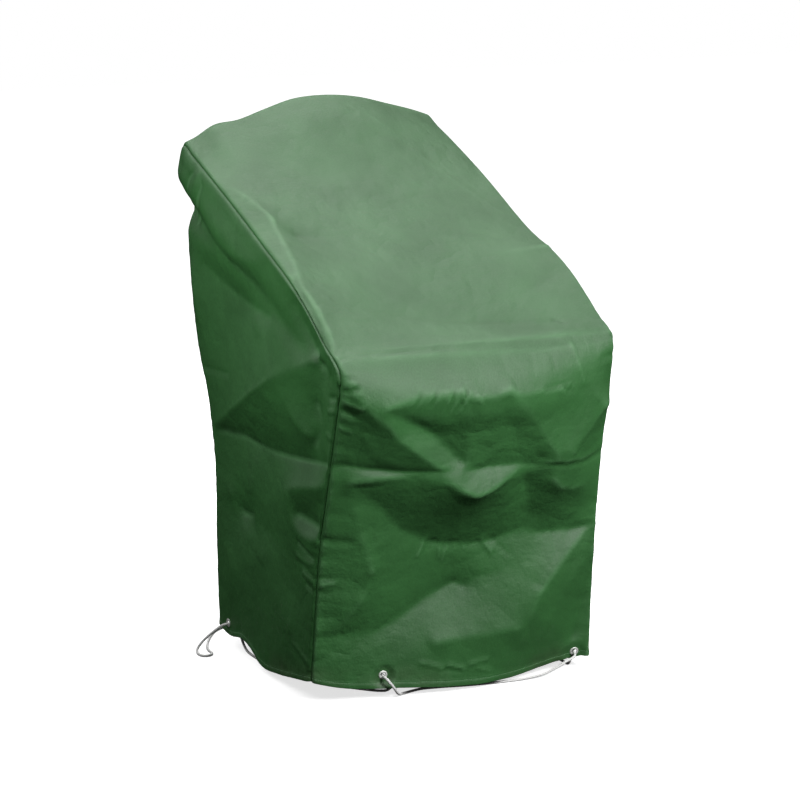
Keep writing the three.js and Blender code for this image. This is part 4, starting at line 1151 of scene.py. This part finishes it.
def cloth_finish(settings):
    """Coated polyester: plain weave, soft unevenness, painted light where it faces up, painted highlights
    on its ridges and painted shade in its creases.
    """
    clouded, ridge_highlight_most, crease_shade_most, soiled = 0.27, 0.12, 0.3, 0.3  # the most that each shows
    crease_mm, crumple_mm, grain_mm, weave_mm = 14.0, 5.5, 0.2, 0.06  # their heights in the bump
    finish = Finish("cloth")
    place = finish.place("cut")
    fold = finish.mark("fold")
    hem = finish.mark("hem")
    across, along, _ = finish.parts(place)
    *_, upward = finish.parts(finish.space("Normal"))
    cloudy = finish.noise(place, scale=7.0, detail=4.0)
    fine = finish.noise(place, scale=330.0, detail=2.0)
    clouds = (cloudy * 0.6 + fine * 0.4).above(0.3, 0.7) * clouded
    # Painted highlight: raised ridges are blended towards a paler green
    ridge_highlight = fold.above(0.15, 2.2) * ridge_highlight_most
    # Painted shade: hollow creases are blended towards a darker copy of the cloth's colour
    crease_shade = (0 - fold).above(0.3, 2.5) * crease_shade_most
    soil = (1 - hem.above(0.004, 0.06)) * cloudy.above(0.4, 0.7) * soiled
    # Painted light: up-facing cloth is blended to a paler colour, as if lit from above
    colour = finish.blend(upward.above(-0.15, 0.75), rgba(settings.colour), rgba(settings.painted_light_colour))
    colour = finish.blend(clouds, colour, rgba((0.0, 0.0, 0.0)))
    colour = finish.blend(ridge_highlight, colour, rgba(settings.thread_colour, 1.4))
    colour = finish.blend(crease_shade, colour, rgba(settings.colour, 0.4))
    colour = finish.blend(soil, colour, rgba(settings.soil_colour))
    pitch = 2 * math.pi / settings.weave
    weave = (across * pitch).sine() * (along * pitch).sine()
    patches = finish.noise(place, scale=3.0, detail=1.0).above(0.3, 0.7)
    crumple = finish.noise(place, scale=24.0, detail=5.0, rough=0.55)
    creased = abs(finish.noise(place, scale=8.0, detail=2.0) - 0.5)
    height = (creased * crease_mm + crumple * crumple_mm) * (0.35 + 0.65 * patches)
    height = height + fine * grain_mm + weave * weave_mm
    finish.set(
        Base_Color=colour, Roughness=0.45 + 0.1 * fine, Normal=finish.bump(height, MM),
        Specular_IOR_Level=0.35,
    )
    return finish.material


def cord_finish(settings):
    """White braided cord, with painted shade in its grooves."""
    finish = Finish("cord")
    groove = finish.mark("groove")
    dirt = finish.noise(finish.place("cut"), scale=60.0)
    clean = finish.blend(dirt.above(0.35, 0.75) * 0.3, rgba(settings.colour), rgba(settings.colour, 0.8))
    # Painted shade: the braid's grooves take a darker copy of the cord's colour
    shaded = finish.blend(groove * 0.5, clean, rgba(settings.colour, 0.45))
    finish.set(
        Base_Color=shaded, Roughness=0.6 + 0.2 * groove, Normal=finish.bump(dirt, 0.2 * MM),
        Sheen_Weight=0.15,
    )
    return finish.material


def eyelet_finish(settings):
    """Plated steel with fine scratches."""
    finish = Finish("eyelet")
    place = finish.space("Object")
    scratches = finish.noise(place, scale=900.0, detail=2.0)
    stain = finish.noise(place, scale=150.0).above(0.45, 0.8) * 0.4
    finish.set(
        Base_Color=finish.blend(stain, rgba(settings.colour), rgba(settings.colour, 0.7)),
        Roughness=0.42 + 0.16 * scratches, Normal=finish.bump(scratches, 0.04 * MM), Metallic=0.45,
    )
    return finish.material


def thread_finish(settings):
    """Thread of the hem, paler than the cloth."""
    finish = Finish("thread")
    twist = finish.noise(finish.space("Object"), scale=700.0, detail=2.0)
    dark, light = (rgba(settings.thread_colour, gain) for gain in (0.85, 1.1))
    finish.set(Base_Color=finish.blend(twist, dark, light), Roughness=0.5 + 0.1 * twist)
    return finish.material


class ClothSettings(bpy.types.PropertyGroup):
    """Sizes and colours of the cloth and its thread."""

    thickness: bpy.props.FloatProperty(
        name="Thickness", description="Thickness of the cloth", default=0.001, min=0.0002, unit="LENGTH")
    seam_allowance: bpy.props.FloatProperty(
        name="Seam allowance", description="Cloth turned in at a seam", default=0.008, unit="LENGTH")
    hem_width: bpy.props.FloatProperty(
        name="Hem width", description="Height of the hem's doubled cloth", default=0.0127, unit="LENGTH")
    strip_step: bpy.props.FloatProperty(
        name="Strip step", description="Width of the strip's mesh cells", default=0.0053, unit="LENGTH")
    side_step: bpy.props.FloatProperty(
        name="Side step", description="Width of the side panels' mesh cells", default=0.0052, unit="LENGTH")
    weave: bpy.props.FloatProperty(
        name="Weave", description="Width of two threads of the weave", default=0.0012, unit="LENGTH")
    colour: bpy.props.FloatVectorProperty(
        name="Cloth colour", description="Colour of the cloth", default=(0.045, 0.166, 0.046),
        subtype="COLOR")
    # Painted light: the paler colour painted where the cloth faces up
    painted_light_colour: bpy.props.FloatVectorProperty(
        name="Painted light colour", description="Colour where the cloth faces up", default=(0.082, 0.168, 0.084),
        subtype="COLOR")
    thread_colour: bpy.props.FloatVectorProperty(
        name="Thread colour", description="Colour of the hem's thread", default=(0.19, 0.4, 0.2),
        subtype="COLOR")
    soil_colour: bpy.props.FloatVectorProperty(
        name="Soil colour", description="Colour of the dirt on the hem", default=(0.11, 0.13, 0.08),
        subtype="COLOR")
    stitch: bpy.props.FloatProperty(
        name="Stitch", description="Length from stitch to stitch", default=0.0042, unit="LENGTH")
    thread: bpy.props.FloatProperty(
        name="Thread", description="Thickness of the thread", default=0.0009, unit="LENGTH")


class CordSettings(bpy.types.PropertyGroup):
    """Sizes and colour of the drawcord."""

    diameter: bpy.props.FloatProperty(
        name="Diameter", description="Thickness of the cord", default=0.006, unit="LENGTH")
    strands: bpy.props.IntProperty(name="Strands", description="Strands of the braid", default=8)
    lay: bpy.props.FloatProperty(
        name="Lay", description="Length in which a strand passes one other", default=0.008, unit="LENGTH")
    ring_step: bpy.props.FloatProperty(
        name="Ring step", description="Length between the mesh's rings", default=0.001, unit="LENGTH")
    sides: bpy.props.IntProperty(name="Sides", description="Sides of the mesh's rings", default=24)
    colour: bpy.props.FloatVectorProperty(
        name="Cord colour", description="Colour of the cord", default=(0.88, 0.88, 0.87), subtype="COLOR")


class EyeletSettings(bpy.types.PropertyGroup):
    """Sizes and colour of the eyelets."""

    bore: bpy.props.FloatProperty(
        name="Bore", description="Radius of the hole", default=0.0055, unit="LENGTH")
    rim: bpy.props.FloatProperty(
        name="Rim", description="Radius of the flange", default=0.01, unit="LENGTH")
    dome: bpy.props.FloatProperty(
        name="Dome", description="Height of the flange", default=0.0016, unit="LENGTH")
    sides: bpy.props.IntProperty(name="Sides", description="Sides of the mesh", default=64)
    colour: bpy.props.FloatVectorProperty(
        name="Metal colour", description="Colour of the plating", default=(0.86, 0.88, 0.84),
        subtype="COLOR")


class StageSettings(bpy.types.PropertyGroup):
    """Camera, lights and floor."""

    azimuth: bpy.props.FloatProperty(
        name="Azimuth", description="The camera's turn round the cover", default=math.radians(-27),
        subtype="ANGLE")
    elevation: bpy.props.FloatProperty(
        name="Elevation", description="The camera's height angle", default=math.radians(13),
        subtype="ANGLE")
    distance: bpy.props.FloatProperty(
        name="Distance", description="From the camera to its target", default=5.5, unit="LENGTH")
    target_height: bpy.props.FloatProperty(
        name="Target height", description="Height of the camera's target over the floor", default=0.572,
        unit="LENGTH")
    lens: bpy.props.FloatProperty(name="Lens", description="Focal length in millimetres", default=111.35)
    shift_x: bpy.props.FloatProperty(name="Shift across", description="The camera's shift", default=0.0084)
    shift_y: bpy.props.FloatProperty(name="Shift up", description="The camera's shift", default=0.0061)
    light_power: bpy.props.FloatProperty(
        name="Light", description="Share of the lights' power", default=1.0)
    floor_colour: bpy.props.FloatVectorProperty(
        name="Floor colour", description="Colour of the floor", default=(0.86, 0.86, 0.86), subtype="COLOR")
    floor_glow: bpy.props.FloatProperty(
        name="Floor glow", description="Glow of the floor beside the cover", default=0.72)
    glow_reach: bpy.props.FloatVectorProperty(
        name="Glow reach", description="Where the floor turns white, from the middle", size=2,
        default=(1.3, 3.5), unit="LENGTH")


class CoverSettings(bpy.types.PropertyGroup):
    """Everything that a user would change."""

    cloth: bpy.props.PointerProperty(type=ClothSettings)
    cord: bpy.props.PointerProperty(type=CordSettings)
    eyelet: bpy.props.PointerProperty(type=EyeletSettings)
    stage: bpy.props.PointerProperty(type=StageSettings)


def dress(piece, material, slot, *nodes):
    """Gives a piece its material and its place in the frame, and hides the parts that it stands for; its
    slot is not used.
    """
    piece.data.materials.append(material)
    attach(piece, "root")
    if nodes:
        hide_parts(*nodes)


class COVER_OT_stage(bpy.types.Operator):
    """Adds the camera, the lights and the floor"""

    bl_idname = "cover.stage"
    bl_label = "Stage"

    def execute(self, context):
        settings = context.scene.cover.stage
        floor_z = -CARRIED_AT[2] * MM
        target = Vector((0.0, -CARRIED_AT[1] * MM, floor_z + settings.target_height))
        self.camera(context, settings, target)
        for name, (offset, size, power, shines) in LIGHTS.items():
            lamp = self.light(context, name, target, Vector(offset), size, power * settings.light_power)
            lamp.visible_glossy = shines
        self.floor(context, settings, floor_z)
        self.sky(context)
        context.scene.view_settings.view_transform = "Standard"
        return {"FINISHED"}

    def camera(self, context, settings, target):
        """The camera, at the photograph's viewing angle."""
        back = Vector((
            math.sin(settings.azimuth) * math.cos(settings.elevation),
            -math.cos(settings.azimuth) * math.cos(settings.elevation),
            math.sin(settings.elevation),
        ))
        lens = bpy.data.cameras.new("camera")
        lens.lens = settings.lens
        lens.shift_x, lens.shift_y = settings.shift_x, settings.shift_y
        camera = bpy.data.objects.new("camera", lens)
        camera.location = target + back * settings.distance
        camera.rotation_euler = (-back).to_track_quat("-Z", "Y").to_euler()
        context.scene.collection.objects.link(camera)
        context.scene.camera = camera

    def light(self, context, name, target, offset, size, power):
        """A soft square light that looks at the target and that the camera doesn't see."""
        lamp = bpy.data.lights.new(name, "AREA")
        lamp.size = size
        lamp.energy = power
        made = bpy.data.objects.new(name, lamp)
        made.location = target + offset
        made.rotation_euler = (-offset).to_track_quat("-Z", "Y").to_euler()
        made.visible_camera = False
        context.scene.collection.objects.link(made)
        return made

    def floor(self, context, settings, height, reach=12.0):
        """A plain floor that turns white away from the cover."""
        mesh = bpy.data.meshes.new("floor")
        corners = [(x * reach, y * reach, height) for x, y in ((-1, -1), (1, -1), (1, 1), (-1, 1))]
        mesh.from_pydata(corners, [], [(0, 1, 2, 3)])
        made = bpy.data.objects.new("floor", mesh)
        finish = Finish("floor").set(Base_Color=rgba(settings.floor_colour), Roughness=0.9)
        length = finish.node("ShaderNodeVectorMath", {"operation": "LENGTH"}, {0: finish.space("Object")})
        away = Signal(finish, length.outputs["Value"]).above(*settings.glow_reach)
        glow = finish.blend(away, rgba((settings.floor_glow,) * 3), rgba((1.0,) * 3))
        finish.set(Emission_Color=glow, Emission_Strength=1.0)
        mesh.materials.append(finish.material)
        made.visible_diffuse = made.visible_glossy = False
        context.scene.collection.objects.link(made)

    def sky(self, context, low=0.012, high=0.3):
        """White for the camera, and for the light brighter from above than from below."""
        world = bpy.data.worlds.new("studio")
        world.use_nodes = True
        context.scene.world = world
        nodes = Nodes(world.node_tree)
        *_, upward = nodes.parts(nodes.space("Generated"))
        seen = Signal(nodes, nodes.node("ShaderNodeLightPath").outputs["Is Camera Ray"])
        background = world.node_tree.nodes["Background"]
        nodes.put(background.inputs["Color"], rgba((1.0,) * 3))
        light = low + (high - low) * upward.limited()
        nodes.put(background.inputs["Strength"], seen + (1 - seen) * light)


class COVER_OT_drawcord(bpy.types.Operator):
    """Adds the drawcord's four stretches between the eyelets"""

    bl_idname = "cover.drawcord"
    bl_label = "Drawcord"

    def execute(self, context):
        settings = context.scene.cover.cord
        material = cord_finish(settings)
        for node, route in CORD_ROUTES.items():
            piece, path = braided_tube("drawn_" + node, route, settings)
            dress(piece, material, "cord", node)
            path[::3].tolist() + [path[-1].tolist()]
        return {"FINISHED"}


class COVER_OT_cloth(bpy.types.Operator):
    """Adds the centre strip, the two side panels and the thread of their hems"""

    bl_idname = "cover.cloth"
    bl_label = "Cloth"

    def execute(self, context):
        settings = context.scene.cover.cloth
        material = cloth_finish(settings)
        strip, points, v_lines, stitched = build_strip(settings)
        left, left_hem = build_side("cover_left", points[0], v_lines, settings)
        right, right_hem = build_side("cover_right", points[-1], v_lines, settings)
        for piece, node in ((strip, "centre_strip"), (left, "left_panel"), (right, "right_panel")):
            dress(piece, material, "cloth", node)
        thread = build_stitches(stitched + left_hem + right_hem, settings)
        dress(thread, thread_finish(settings), "cloth")
        return {"FINISHED"}


class COVER_OT_eyelets(bpy.types.Operator):
    """Adds the four pressed eyelets"""

    bl_idname = "cover.eyelets"
    bl_label = "Eyelets"

    def execute(self, context):
        settings = context.scene.cover.eyelet
        material = eyelet_finish(settings)
        profile = eyelet_profile(settings, context.scene.cover.cloth.thickness / MM)
        for node, (_, at, facing) in EYELETS.items():
            piece = turned_ring("ring_" + node, profile, at, facing, settings.sides)
            dress(piece, material, "eyelet", node)
        return {"FINISHED"}


class COVER_PT_parts(bpy.types.Panel):
    """Lists the cover's parts and their settings"""

    bl_idname = "COVER_PT_parts"
    bl_label = "Stacking chair cover"
    bl_space_type = "VIEW_3D"
    bl_region_type = "UI"
    bl_category = "Cover"

    def draw(self, context):
        column = self.layout.column()
        for operator in OPERATORS:
            column.operator(operator.bl_idname)
        for group in ("cloth", "cord", "eyelet", "stage"):
            settings = getattr(context.scene.cover, group)
            box = self.layout.box()
            box.label(text=group.capitalize())
            for name in settings.__annotations__:
                box.prop(settings, name)


OPERATORS = (COVER_OT_stage, COVER_OT_drawcord, COVER_OT_cloth, COVER_OT_eyelets)
GROUPS = (ClothSettings, CordSettings, EyeletSettings, StageSettings, CoverSettings)
CLASSES = (*GROUPS, *OPERATORS, COVER_PT_parts)


def register():
    """Registers the classes and the cover's settings."""
    for item in CLASSES:
        bpy.utils.register_class(item)
    bpy.types.Scene.cover = bpy.props.PointerProperty(type=CoverSettings)


def unregister():
    """Takes back what register added."""
    del bpy.types.Scene.cover
    for item in reversed(CLASSES):
        bpy.utils.unregister_class(item)


def corners(box):
    """A box as plain lists of numbers."""
    return [[float(value) for value in corner] for corner in box]


def main():
    """Makes every piece."""
    register()
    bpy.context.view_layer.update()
    for operator in OPERATORS:
        group, name = operator.bl_idname.split(".")
        getattr(getattr(bpy.ops, group), name)()


if __name__ == "__main__":
    main()
